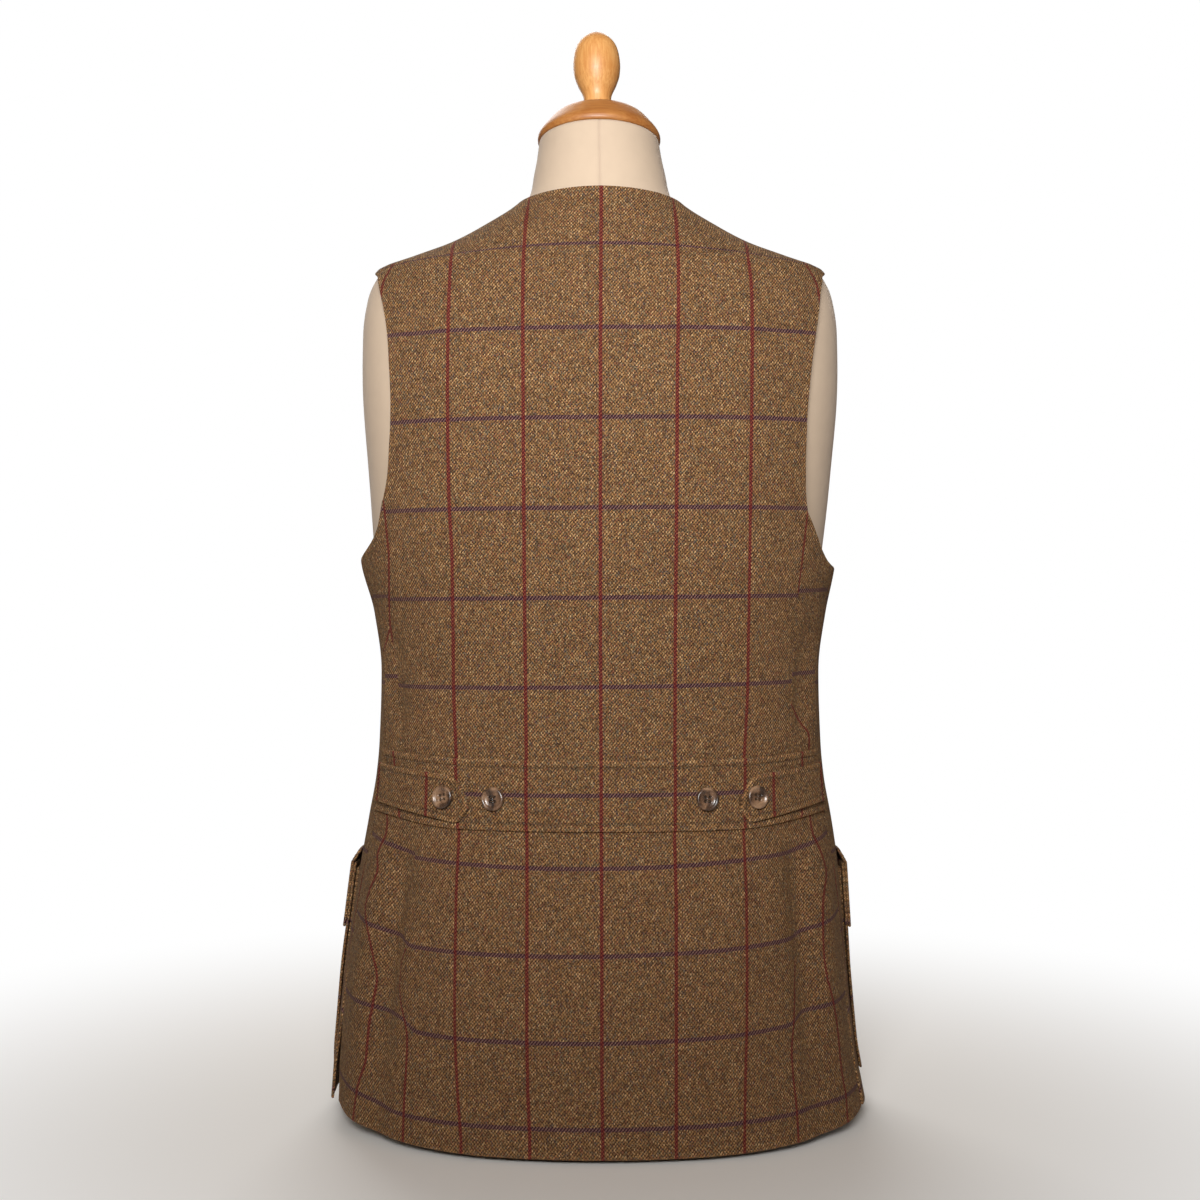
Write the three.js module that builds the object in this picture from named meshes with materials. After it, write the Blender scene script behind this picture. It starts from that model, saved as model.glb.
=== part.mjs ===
// Suit waistcoat worn by a limbless dress form.
// Millimetres, +Z up, the front of the body faces -Y, the wearer's left is +X.
// The origin is the middle of the form's flat base, which stands just under the hem.
//
// The worn cloth follows one body surface. A place on it is written (turn, height):
// turn 0 is the centre back, 1 the side, 2 the centre front, and the wearer's right
// side has the same turns with a minus sign.
import * as THREE from 'three';

// Driving dimensions
const CLOTH = 2.4;             // wall of a panel: tweed, interlining and lining
const SEAM_GAP = 0.3;          // left open between two pieces that are sewn together
const LAYER_GAP = 0.3;         // left open between a piece and the one it lies on
const HEM = 4;                 // height of the level hem over the floor
const TRUNK_TOP = 425;         // last level row below the arms
const SHOULDER_HEIGHT = 703;   // outer end of the shoulder seam
const NECK_HEIGHT = 759.6;     // inner end of the shoulder seam
const NECK_RISE = 5;           // centre back neck above the shoulder seam's end
const SIDE_SEAM_TOP = 0.85;    // turn of the side seam at the armhole
const JUNCTION = 1.38;         // turn where the front armhole starts to climb
const JUNCTION_HEIGHT = 505;
const BREAK_HEIGHT = 500;      // bottom of the V neck
const OVERLAP = 14;            // each front passes the centre line by this much
const UNDER_DROP = 2.8;        // the lower front sinks by this much in the overlap
const VENT_TOP = 125;          // side vents are open below this height
const BAND_WALL = 2.2;
const TAB_WALL = 2.2;
const TAB_GAP = 0.8;           // tabs stand off the band a little
const TAB_COLUMNS = 11;
const BELLOWS_WALL = 3;
const POCKET_WALL = 2;
const FLAP_WALL = 2.2;
const BUTTON_RADIUS = 9.25;    // 18.5 mm horn buttons
const BUTTON_GAP = 0.45;
const FRONT_BUTTON_HEIGHTS = [488, 398, 308, 218, 128];
const BAND_BUTTON = { across: 82.8, height: 274.4 };
const TAB_BUTTON = { across: 121, height: 274.2 };
const POCKET_BUTTON_HEIGHT = 168;
const NECK_TILT = 9;           // degrees, the top of the neck is higher at the back
const NECK_BASE = 760;
const NECK_TOP = 815;
const FORM_COLUMNS = 52;

// Outer surface of the worn cloth. Columns: height, half width, back depth, front depth,
// y of the widest place, and the exponents that make the back and front halves squarer
// than an ellipse.
const BODY = [
  [0, 226, 160, -152, 5, 2.2, 2.25],
  [67, 217.5, 157, -150, 5, 2.2, 2.25],
  [131, 210.5, 153, -147, 5, 2.2, 2.25],
  [170, 206, 149, -145, 5, 2.2, 2.25],
  [209, 201.5, 143, -142, 5, 2.2, 2.25],
  [250, 195, 134, -138, 5, 2.2, 2.25],
  [284, 189, 128.5, -135, 5, 2.2, 2.25],
  [311, 186.5, 127, -134, 5, 2.2, 2.25],
  [373, 184.5, 129, -135, 5, 2.3, 2.3],
  [420, 190, 133, -138, 5, 2.4, 2.4],
  [465, 199.5, 137, -141, 6, 2.55, 2.5],
  [540, 203, 139, -137, 10, 2.75, 2.6],
  [600, 205, 137, -127, 15, 2.8, 2.6],
  [650, 203, 131, -113, 20, 2.8, 2.4],
  [680, 198, 123, -99, 23, 2.7, 2.25],
  [702.5, 186.5, 113, -84, 25, 2.45, 2.1],
  [712.5, 163, 107, -75, 26, 2.2, 1.95],
  [725, 129.5, 101, -65, 26, 2.1, 1.85],
  [740.5, 100, 93.5, -55, 27, 2, 1.8],
  [760, 69.5, 86, -47, 27, 2, 1.8],
  [770, 61.5, 81.5, -43.5, 25, 2, 1.85],
  [785, 56.5, 75.5, -40, 20, 2, 1.9],
  [800, 53, 70.5, -38, 17, 2, 2],
  [815, 50.5, 65, -35, 15, 2, 2],
];

// How far the body's middle stands to the wearer's left, by height.
const SWAY = [
  [0, 0], [30, 2], [55, 3.6], [110, 3.8], [170, 2], [250, 0], [420, 0], [465, 1.5], [520, 0.5],
  [600, 0], [760, 0], [815, 0.8],
];

// Edges of the panels. Each row is [height, value]. The two sides of the back differ a
// little, so their tables are kept apart.
const SIDE_BACK_SEAM = {     // value: distance from the centre line, measured across
  left: [
    [4, 157], [60, 150.5], [95, 149.5], [161, 154.5], [225, 149.5], [250, 150], [306, 160.5],
    [343, 165.7], [368, 167], [385, 168.6], [412, 172.5], [440, 171], [466, 170], [484, 171.5],
    [511, 174],
  ],
  right: [
    [4, 160], [60, 157], [103, 156.5], [170, 159], [222, 155], [250, 150.5], [306, 153],
    [370, 156], [420, 158], [478, 164], [500, 166.2],
  ],
};
const BACK_ARMHOLE = {       // value: distance from the centre line, measured across
  left: [
    [511, 174], [522, 171], [538, 168.8], [554, 167.8], [570, 166.8], [587, 166.5],
    [603, 167], [619, 168], [636, 169.2], [652, 171.2], [665, 174], [680, 178], [695, 182],
  ],
  right: [
    [500, 166.2], [510, 164.6], [520, 163.8], [539, 163.6], [557, 164], [576, 164.6],
    [595, 166.2], [605, 167.2], [624, 169.6], [643, 172.5], [653, 174.2], [664, 176],
    [675, 177.6], [686, 179.8], [695, 182],
  ],
};
const BACK_SHOULDER = [      // value: turn, the armhole's last stretch up to the shoulder seam
  [695, 0.822], [698, 0.868], [700.4, 0.915], [702.1, 0.957], [703, 1],
];
const SIDE_SEAM = [          // value: turn
  [4, 0.855], [125, 0.85], [200, 0.835], [285, 0.81], [345, 0.81], [425, 0.83], [476, 0.85],
];
const FRONT_ARMHOLE = [      // value: turn
  [505, 1.38], [530, 1.415], [565, 1.445], [600, 1.457], [635, 1.432], [665, 1.373],
  [682, 1.287], [690, 1.235], [695, 1.185], [699, 1.125], [701.6, 1.06], [703, 1],
];
const V_EDGE = [             // value: turn
  [500, 2.049], [520, 1.988], [540, 1.935], [580, 1.887], [620, 1.848], [660, 1.809],
  [695, 1.761], [720, 1.682], [735, 1.58], [748, 1.442], [756, 1.236], [759.6, 1],
];
const UNDERARM = {           // here each row is [turn, height], from the side-back seam on
  left: [
    [0.693, 488.9], [0.738, 477.5], [0.793, 470.8], [0.85, 466.5], [0.92, 462.5], [1, 460],
    [1.1, 457], [1.18, 458.5], [1.26, 468], [1.33, 484], [1.38, 505],
  ],
  right: [
    [0.66, 491], [0.692, 480.5], [0.73, 470], [0.78, 462.3], [0.85, 458.5], [0.92, 457],
    [1, 456.5], [1.1, 456], [1.18, 458.5], [1.26, 468], [1.33, 484], [1.38, 505],
  ],
};

// Rows of the panels. The band's edges sit on the rows at 250 and 306.
const TRUNK_ROWS = [HEM, 24, 60, 95, 125, 152, 180, 218, 250, 278, 306, 345, 385, TRUNK_TOP];
const POCKET_ROWS = { bottom: 24, bottomInset: 28, flap: 152, topInset: 202, top: 206, flapTop: 218 };
const BACK_ROWS = [468, 511, 530, 550, 570, 590, 610, 632, 652, 670, 684, 695, 698, 700.4, 702.1];
const SHOULDER_ROWS = [SHOULDER_HEIGHT, 711, 720.5, 732, 745];
const FRONT_ROWS = [530, 556, 582, 608, 634, 658, 678, 690, 695, 699, 701.6];
const FRONT_TOP_ROWS = [754, 758.6];

// What some rows add to their height: near the side seams for the band and the hem, and
// at the wearer's right armhole, which is cut lower.
const BAND_RISE = { 218: 3, 250: 7, 278: 4.5, 306: 2.5 };
const HEM_SHARE = { 4: 1, 24: 0.4, 28: 0.36, 60: 0.1 };
const HEM_RISE = { left: 14.8, right: 10 };
const ARM_DIP = { 468: 5.5, 511: 11, 530: 8, 550: 4, 570: 1.5 };

// Columns of a front, from the side seam to the front edge: millimetres from the centre
// front below the waist, and the share of the way along its part above the waist.
const FRONT_COLUMNS = [
  { below: 'seam', above: 0 },
  { below: 'middle', above: 0.12 },
  { below: 290, above: 0.24 },
  { below: 286, above: 0.37 },
  { below: 258, above: 0.5 },
  { below: 229, above: 0.64 },
  { below: 201, above: 0.82 },
  { below: 173, above: 0 },
  { below: 144, above: 0.13 },
  { below: 116, above: 0.26 },
  { below: 112, above: 0.34 },
  { below: 94, above: 0.43 },
  { below: 76, above: 0.52 },
  { below: 58, above: 0.61 },
  { below: 40, above: 0.7 },
  { below: 27, above: 0.78 },
  { below: 14, above: 0.86 },
  { below: 0, above: 0.93 },
  { below: -OVERLAP, above: 1 },
];
const JUNCTION_COLUMN = 7;
const POCKET_COLUMNS = { back: 2, backInset: 3, frontInset: 9, front: 10 };
const BACK_COLUMNS = 12;       // on each side of the centre
const SIDE_COLUMNS = 7;

// Folds: where across (turn), how wide, how far in or out, and the side it is on
// (0 both, 1 the wearer's left, -1 the wearer's right). The profile scales it by height.
const SKIRT_PROFILE = [[4, 0.35], [60, 0.6], [140, 1], [200, 1], [235, 0.55], [252, 0]];
const WAIST_PROFILE = [[308, 0], [345, 1], [385, 0.6], [430, 0]];
const ARM_PROFILE = [[580, 0], [640, 1], [700, 0]];
const FRONT_PROFILE = [[240, 0], [330, 1], [430, 0]];
const FOLDS = [
  { profile: SKIRT_PROFILE, turn: 0.62, width: 0.05, depth: -8, side: 1 },
  { profile: SKIRT_PROFILE, turn: 0.625, width: 0.052, depth: -7.5, side: -1 },
  { profile: SKIRT_PROFILE, turn: 0.735, width: 0.06, depth: 3, side: 0 },
  { profile: SKIRT_PROFILE, turn: 0.36, width: 0.1, depth: 2.2, side: 0 },
  { profile: SKIRT_PROFILE, turn: 0.15, width: 0.09, depth: -1.5, side: 0 },
  { profile: WAIST_PROFILE, turn: 0.72, width: 0.05, depth: -3.5, side: 0 },
  { profile: WAIST_PROFILE, turn: 0.8, width: 0.05, depth: 2, side: 0 },
  { profile: ARM_PROFILE, turn: 0.54, width: 0.05, depth: -2, side: 0 },
  { profile: FRONT_PROFILE, turn: 1.72, width: 0.1, depth: -2, side: 0 },
];

// Gap between the inside of the cloth and the form, by height.
const FORM_EASE = [
  [0, 90], [8, 75], [25, 55], [60, 38], [120, 25], [280, 14], [460, 10], [600, 5],
  [660, 3.2], [690, 2.2], [711, 1.3], [732, 1.3], [751, 1.6], [764, 1.2], [815, 0],
];

// Outline of the tabs: distance across, lower edge and upper edge.
const TAB_OUTLINE = [
  [104.8, 266, 272.3], [108.2, 260.5, 279.5], [112.5, 255.6, 286.2], [116.5, 255, 290.2],
  [120.7, 255.8, 292.2], [135, 258.2, 293.6], [155, 261.8, 295.2], [176, 265.2, 297],
];
// How far each tab's tip lies from the outline's: the left tab reaches further in.
const TIP_SHIFT = { 1: -2.8, [-1]: 3.8 };

// Turned profiles, [radius, height].
const BUTTON_PROFILE = [
  [0, 0], [7.4, 0], [9, 0.9], [BUTTON_RADIUS, 2], [8.6, 3.3], [7.3, 3.7], [5.7, 2.6], [0, 2.3],
];
const CAP_PROFILE = [
  [0, 0], [51, 0], [51.8, 2.5], [51.5, 5.5], [45.4, 14.4], [37, 23.2], [29.6, 26.6], [21, 29],
  [13, 31.4], [0, 31.4],
];
const KNOB_PROFILE = [
  [0, 0], [12, 0], [11.7, 9], [16.9, 22.6], [19.3, 30.4], [20, 38.6], [19.4, 46.4],
  [17.9, 53.4], [15.4, 58.6], [11.9, 62.6], [6.5, 66.6], [0, 68.4],
];

const MATERIALS = {
  tweed: new THREE.MeshStandardMaterial({ color: 0x6b5231, roughness: 0.95 }),
  horn: new THREE.MeshStandardMaterial({ color: 0x4a3226, roughness: 0.35 }),
  cover: new THREE.MeshStandardMaterial({ color: 0xe6dcc6, roughness: 0.9 }),
  beech: new THREE.MeshStandardMaterial({ color: 0xc98a4b, roughness: 0.4 }),
};

// A smooth curve through rows of [x, y] that never swings past a row.
function smoothCurve(rows) {
  const last = rows.length - 1;
  const rise = [];
  for (let i = 0; i < last; i++) {
    rise.push((rows[i + 1][1] - rows[i][1]) / (rows[i + 1][0] - rows[i][0]));
  }
  const slope = [rise[0]];
  for (let i = 1; i < last; i++) {
    slope.push(rise[i - 1] * rise[i] > 0 ? 2 / (1 / rise[i - 1] + 1 / rise[i]) : 0);
  }
  slope.push(rise[last - 1]);
  return (x) => {
    let i = 0;
    while (i < last - 1 && rows[i + 1][0] <= x) i++;
    const span = rows[i + 1][0] - rows[i][0];
    const t = Math.min(Math.max((x - rows[i][0]) / span, 0), 1);
    const t2 = t * t;
    const t3 = t2 * t;
    return (2 * t3 - 3 * t2 + 1) * rows[i][1] + (t3 - 2 * t2 + t) * span * slope[i]
      + (3 * t2 - 2 * t3) * rows[i + 1][1] + (t3 - t2) * span * slope[i + 1];
  };
}

function smoothStep(from, to, x) {
  const t = Math.min(Math.max((x - from) / (to - from), 0), 1);
  return t * t * (3 - 2 * t);
}

const lerp = (a, b, t) => a + (b - a) * t;
const bodyColumns = [1, 2, 3, 4, 5, 6].map((c) => smoothCurve(BODY.map((r) => [r[0], r[c]])));
const sway = smoothCurve(SWAY);
const backShoulder = smoothCurve(BACK_SHOULDER);
const sideSeam = smoothCurve(SIDE_SEAM);
const frontArmhole = smoothCurve(FRONT_ARMHOLE);
const vEdge = smoothCurve(V_EDGE);
const formEase = smoothCurve(FORM_EASE);
const foldCurves = FOLDS.map((fold) => smoothCurve(fold.profile));

// Half a level ring of the body, centre back to centre front, with its running length.
const RING_STEPS = 240;
const ringCache = new Map();
function ringAt(height) {
  const key = Math.round(height * 1000);
  if (ringCache.has(key)) return ringCache.get(key);
  const [half, back, front, middle, backPower, frontPower] = bodyColumns.map((c) => c(height));
  const x = [];
  const y = [];
  const run = [0];
  for (let k = 0; k <= 2 * RING_STEPS; k++) {
    const angle = (k / RING_STEPS) * (Math.PI / 2);
    const behind = k <= RING_STEPS;
    const power = 2 / (behind ? backPower : frontPower);
    const across = Math.max(Math.sin(angle), 0) ** power;
    const along = Math.abs(Math.cos(angle)) ** power;
    x.push(half * across);
    y.push(behind ? middle + (back - middle) * along : middle - (middle - front) * along);
    if (k > 0) run.push(run[k - 1] + Math.hypot(x[k] - x[k - 1], y[k] - y[k - 1]));
  }
  const quarter = run[RING_STEPS];
  const ring = { x, y, run, quarter, frontQuarter: run[2 * RING_STEPS] - quarter, middle };
  ringCache.set(key, ring);
  return ring;
}

// The body surface itself. Turns past 2 carry on round the other side.
function skin(turn, height) {
  let t = turn;
  if (t > 2) t -= 4;
  if (t < -2) t += 4;
  const side = t < 0 ? -1 : 1;
  t = Math.abs(t);
  const ring = ringAt(height);
  const goal = t <= 1 ? t * ring.quarter : ring.quarter + (t - 1) * ring.frontQuarter;
  let low = 0;
  let high = ring.run.length - 1;
  while (high - low > 1) {
    const mid = (low + high) >> 1;
    if (ring.run[mid] <= goal) low = mid; else high = mid;
  }
  const part = (goal - ring.run[low]) / (ring.run[high] - ring.run[low]);
  const y = lerp(ring.y[low], ring.y[high], part);
  const tilt = NECK_TILT * smoothStep(NECK_BASE, NECK_TOP, height);
  const lean = Math.tan(THREE.MathUtils.degToRad(tilt));
  const z = height + (y - ring.middle) * lean;
  const x = side * lerp(ring.x[low], ring.x[high], part) + sway(height);
  return new THREE.Vector3(x, y, z);
}

function outward(turn, height) {
  const across = skin(turn + 0.004, height).sub(skin(turn - 0.004, height));
  const up = skin(turn, height + 0.5).sub(skin(turn, height - 0.5));
  return up.cross(across).normalize();
}

// The turn on the back of the body at a distance from the centre line.
function turnAcross(across, height, side) {
  const ring = ringAt(height);
  const reach = across - side * sway(height);
  let k = 1;
  while (k < RING_STEPS && ring.x[k] < reach) k++;
  const part = Math.min((reach - ring.x[k - 1]) / (ring.x[k] - ring.x[k - 1]), 1);
  return lerp(ring.run[k - 1], ring.run[k], part) / ring.quarter;
}

// The edges of each side, as functions.
const EDGES = {};
for (const [word, side] of [['left', 1], ['right', -1]]) {
  const [height, across] = SIDE_BACK_SEAM[word].at(-1);
  EDGES[side] = {
    seamTop: height,
    sideBackSeam: smoothCurve(SIDE_BACK_SEAM[word]),
    backArmhole: smoothCurve(BACK_ARMHOLE[word]),
    underarm: smoothCurve([[turnAcross(across, height, side), height], ...UNDERARM[word]]),
    hemRise: HEM_RISE[word],
  };
}

function foldAt(turn, height) {
  const side = turn < 0 ? -1 : 1;
  return FOLDS.reduce((sum, fold, i) => {
    const first = fold.profile[0][0];
    const last = fold.profile[fold.profile.length - 1][0];
    if ((fold.side !== 0 && fold.side !== side) || height > last) return sum;
    if (height < first && foldCurves[i](first) === 0) return sum;
    const away = (Math.abs(turn) - fold.turn) / fold.width;
    return sum + fold.depth * foldCurves[i](height) * Math.exp(-away * away);
  }, 0);
}

// A place on the cloth's outer face, with the direction straight out of it.
function place(turn, height, lift = 0) {
  const normal = outward(turn, height);
  const point = skin(turn, height).addScaledVector(normal, foldAt(turn, height) + lift);
  return { point, normal, turn, height };
}

// The height of a row at one turn, with what it adds near the sides.
function rowHeight(row, turn) {
  const t = Math.abs(turn);
  const side = turn < 0 ? -1 : 1;
  const band = smoothStep(0.42, 0.8, t) * (1 - smoothStep(1, 1.4, t));
  const hem = t < 0.86 ? (t / 0.86) ** 3.2 : 1 - smoothStep(0.95, 1.7, t);
  const dip = side < 0 ? smoothStep(0.1, 0.6, t) : 0;
  return row + (BAND_RISE[row] ?? 0) * band + (HEM_SHARE[row] ?? 0) * EDGES[side].hemRise * hem
    - (ARM_DIP[row] ?? 0) * dip;
}

// A wall of cloth over a grid of places. Cells can be left out, and rows may be uneven.
function wallGeometry(grid, lift, thickness, keep = () => true) {
  const vertices = [];
  const faces = [];
  const index = new Map();
  const vertex = (row, column, inner) => {
    const key = `${row},${column},${inner}`;
    if (!index.has(key)) {
      const { point, normal } = grid[row][column];
      const out = point.clone().addScaledVector(normal, lift - (inner ? thickness : 0));
      index.set(key, vertices.length / 3);
      vertices.push(out.x, out.y, out.z);
    }
    return index.get(key);
  };
  const edges = new Map();
  for (let r = 0; r < grid.length - 1; r++) {
    for (let c = 0; c < grid[r].length - 1; c++) {
      if (!keep(r, c)) continue;
      const corners = [[r, c], [r, c + 1], [r + 1, c + 1], [r + 1, c]];
      for (const inner of [false, true]) {
        const [a, b, d, e] = corners.map(([i, j]) => vertex(i, j, inner));
        faces.push(...(inner ? [a, d, b, a, e, d] : [a, b, d, a, d, e]));
      }
      corners.forEach((from, k) => {
        const to = corners[(k + 1) % 4];
        const back = `${to}|${from}`;
        if (edges.has(back)) edges.delete(back);
        else edges.set(`${from}|${to}`, [from, to]);
      });
    }
  }
  for (const [from, to] of edges.values()) {
    const [a, b] = [vertex(...from, false), vertex(...to, false)];
    const [d, e] = [vertex(...from, true), vertex(...to, true)];
    faces.push(a, d, b, b, d, e);
  }
  return closedGeometry(vertices, faces);
}

// Turns the faces outward if they enclose a negative volume.
function closedGeometry(vertices, faces) {
  const corner = (i) => new THREE.Vector3(...vertices.slice(3 * i, 3 * i + 3));
  let volume = 0;
  for (let i = 0; i < faces.length; i += 3) {
    volume += corner(faces[i]).dot(corner(faces[i + 1]).cross(corner(faces[i + 2])));
  }
  if (volume < 0) {
    for (let i = 0; i < faces.length; i += 3) {
      [faces[i + 1], faces[i + 2]] = [faces[i + 2], faces[i + 1]];
    }
  }
  const geometry = new THREE.BufferGeometry();
  geometry.setAttribute('position', new THREE.Float32BufferAttribute(vertices, 3));
  geometry.setIndex(faces);
  geometry.computeVertexNormals();
  return geometry;
}

// A turned solid about +Z, closed at both ends on the axis.
function turnedGeometry(profile, segments) {
  const vertices = [];
  const faces = [];
  const rings = profile.filter(([radius]) => radius > 0);
  for (const [radius, height] of rings) {
    for (let s = 0; s < segments; s++) {
      const angle = (s / segments) * 2 * Math.PI;
      vertices.push(radius * Math.cos(angle), radius * Math.sin(angle), height);
    }
  }
  vertices.push(0, 0, profile[0][1], 0, 0, profile[profile.length - 1][1]);
  const bottom = rings.length * segments;
  for (let s = 0; s < segments; s++) {
    const n = (s + 1) % segments;
    faces.push(bottom, n, s);
    for (let r = 0; r < rings.length - 1; r++) {
      const [a, b, up] = [r * segments + s, r * segments + n, segments];
      faces.push(a, b, b + up, a, b + up, a + up);
    }
    const top = (rings.length - 1) * segments;
    faces.push(bottom + 1, top + s, top + n);
  }
  return closedGeometry(vertices, faces);
}

// Rings of places stacked into one solid, with a flat face at each end.
function loftedGeometry(rings) {
  const vertices = [];
  const faces = [];
  const count = rings[0].length;
  rings.flat().forEach((p) => vertices.push(p.x, p.y, p.z));
  const middleOf = (ring) => ring.reduce((sum, p) => sum.add(p), new THREE.Vector3())
    .divideScalar(count);
  const ends = [middleOf(rings[0]), middleOf(rings[rings.length - 1])];
  ends.forEach((p) => vertices.push(p.x, p.y, p.z));
  const low = rings.length * count;
  for (let c = 0; c < count; c++) {
    const n = (c + 1) % count;
    faces.push(low, n, c);
    for (let r = 0; r < rings.length - 1; r++) {
      const [a, b] = [r * count + c, r * count + n];
      faces.push(a, b, b + count, a, b + count, a + count);
    }
    const top = (rings.length - 1) * count;
    faces.push(low + 1, top + c, top + n);
  }
  return closedGeometry(vertices, faces);
}

const group = new THREE.Group();
group.name = 'suit_waistcoat_on_form';

function add(name, geometry, material) {
  const mesh = new THREE.Mesh(geometry, MATERIALS[material]);
  mesh.name = name;
  group.add(mesh);
  return mesh;
}

// Columns crowd towards the edges, where the body curves more.
const crowd = (t) => 0.6 * t + 0.4 * Math.sin((t * Math.PI) / 2);

function backSeamTurn(height, side) {
  const { seamTop, sideBackSeam, backArmhole } = EDGES[side];
  if (height <= seamTop) return turnAcross(sideBackSeam(height), height, side);
  if (height < BACK_SHOULDER[0][0]) return turnAcross(backArmhole(height), height, side);
  return backShoulder(height);
}

const inset = (height) => SEAM_GAP / 2 / ringAt(height).quarter;

// Back panel, hem to neck, both sides in one.
function backGrid() {
  const levels = [...TRUNK_ROWS, ...BACK_ROWS, ...SHOULDER_ROWS, 'neck'];
  return levels.map((row) => {
    const level = row === 'neck' ? NECK_HEIGHT : row;
    const line = [];
    for (let c = -BACK_COLUMNS; c <= BACK_COLUMNS; c++) {
      const side = c < 0 ? -1 : 1;
      const edge = backSeamTurn(rowHeight(level, side * 0.62), side) - inset(level);
      const turn = side * edge * crowd(Math.abs(c) / BACK_COLUMNS);
      const rise = row === 'neck' ? NECK_RISE * (1 - Math.abs(turn) ** 1.6) : 0;
      line.push(place(turn, rowHeight(level, turn) + rise));
    }
    return line;
  });
}

// Below the vent's top the two edges of a side seam stand apart.
function ventOpening(height, side) {
  const open = 1 - smoothStep(HEM, VENT_TOP, height);
  return side > 0
    ? { gap: lerp(SEAM_GAP, 7, open), frontLift: 3 * open, backLift: -2 * open }
    : { gap: lerp(SEAM_GAP, 3.5, open), frontLift: 0.6 * open, backLift: -0.6 * open };
}

function sideGrid(side) {
  const { seamTop, underarm } = EDGES[side];
  const levels = [...TRUNK_ROWS, 0.5, 1];
  return levels.map((row) => {
    const line = [];
    for (let c = 0; c <= SIDE_COLUMNS; c++) {
      const share = c / SIDE_COLUMNS;
      const top = underarm(lerp(backSeamTurn(seamTop, side), SIDE_SEAM_TOP, share));
      // The two upper rows hang between the last level row and the underarm edge.
      const level = (turn, end) => (row <= 1
        ? lerp(TRUNK_TOP, end, row) : rowHeight(row, side * turn));
      const from = backSeamTurn(level(0.62, seamTop), side) + inset(TRUNK_TOP);
      const to = sideSeam(level(0.82, underarm(SIDE_SEAM_TOP)));
      const height = level(lerp(from, to, share), top);
      const vent = ventOpening(height, side);
      const turn = lerp(from, to - vent.gap / 2 / ringAt(height).quarter, share);
      line.push(place(side * turn, height, vent.backLift * smoothStep(0.5, 1, share)));
    }
    return line;
  });
}

// Turn of one column of a front at one height.
function frontTurn(column, height, side) {
  const { below, above } = FRONT_COLUMNS[column];
  const ring = ringAt(height);
  const seam = sideSeam(height) + ventOpening(height, side).gap / 2 / ring.quarter;
  const toTurn = (distance) => {
    const turn = 2 - distance / ring.frontQuarter;
    return turn >= 1 ? turn : 1 - (distance - ring.frontQuarter) / ring.quarter;
  };
  let low = 0;
  if (below === 'seam') low = seam;
  else if (below === 'middle') low = (seam + toTurn(290)) / 2;
  else low = toTurn(below);
  const front = height < BREAK_HEIGHT ? 2 + OVERLAP / ring.frontQuarter : vEdge(height);
  const arm = height < JUNCTION_HEIGHT ? JUNCTION : frontArmhole(Math.min(height, SHOULDER_HEIGHT));
  const start = height < SHOULDER_HEIGHT ? arm : 1 + SEAM_GAP / 2 / ring.frontQuarter;
  const high = column < JUNCTION_COLUMN ? lerp(seam, JUNCTION, above) : lerp(start, front, above);
  return lerp(low, high, smoothStep(POCKET_ROWS.flapTop, 306, height));
}

// The lower front sinks under the other one near the centre.
function underlap(turn, height) {
  const distance = (2 - Math.abs(turn)) * ringAt(height).frontQuarter;
  return height < BREAK_HEIGHT + 60 ? -UNDER_DROP * (1 - smoothStep(OVERLAP, 40, distance)) : 0;
}

function frontLevels() {
  const levels = [...TRUNK_ROWS, ...Object.values(POCKET_ROWS)];
  const trunk = [...new Set(levels)].sort((a, b) => a - b);
  return [...trunk, 'half', 'underarm', ...FRONT_ROWS, ...SHOULDER_ROWS, ...FRONT_TOP_ROWS];
}

function frontGrid(side) {
  return frontLevels().map((row) => FRONT_COLUMNS.map((unused, column) => {
    let turn = 1.4;
    let height = typeof row === 'string' ? 480 : row;
    for (let pass = 0; pass < 4; pass++) {
      turn = frontTurn(column, height, side);
      let top = EDGES[side].underarm(Math.min(turn, JUNCTION));
      if (column >= JUNCTION_COLUMN) {
        top = lerp(JUNCTION_HEIGHT, BREAK_HEIGHT, FRONT_COLUMNS[column].above);
      }
      if (row === 'underarm') height = top;
      else if (row === 'half') height = (TRUNK_TOP + top) / 2;
      else height = rowHeight(row, side * turn);
    }
    const near = 1 - smoothStep(0, 0.1, turn - sideSeam(height));
    const vent = ventOpening(height, side).frontLift * near;
    const drop = side < 0 ? underlap(turn, height) : 0;
    return place(side * turn, height, vent + drop);
  }));
}

// The part of a grid between two rows and two columns.
const cut = (grid, rows, columns) => grid.slice(rows[0], rows[1] + 1)
  .map((line) => line.slice(columns[0], columns[1] + 1));

// The band lies on the back panel and both side panels, from side seam to side seam.
function bandGrid(back, left, right) {
  const rows = [250, 278, 306].map((row) => TRUNK_ROWS.indexOf(row));
  return rows.map((row, k) => {
    const joined = [...right[row].slice(1).reverse(), ...back[row], ...left[row].slice(1)];
    const trim = [0.4, 0, -0.4][k];
    return joined.map(({ turn, height }) => place(turn, height + trim));
  });
}

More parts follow.
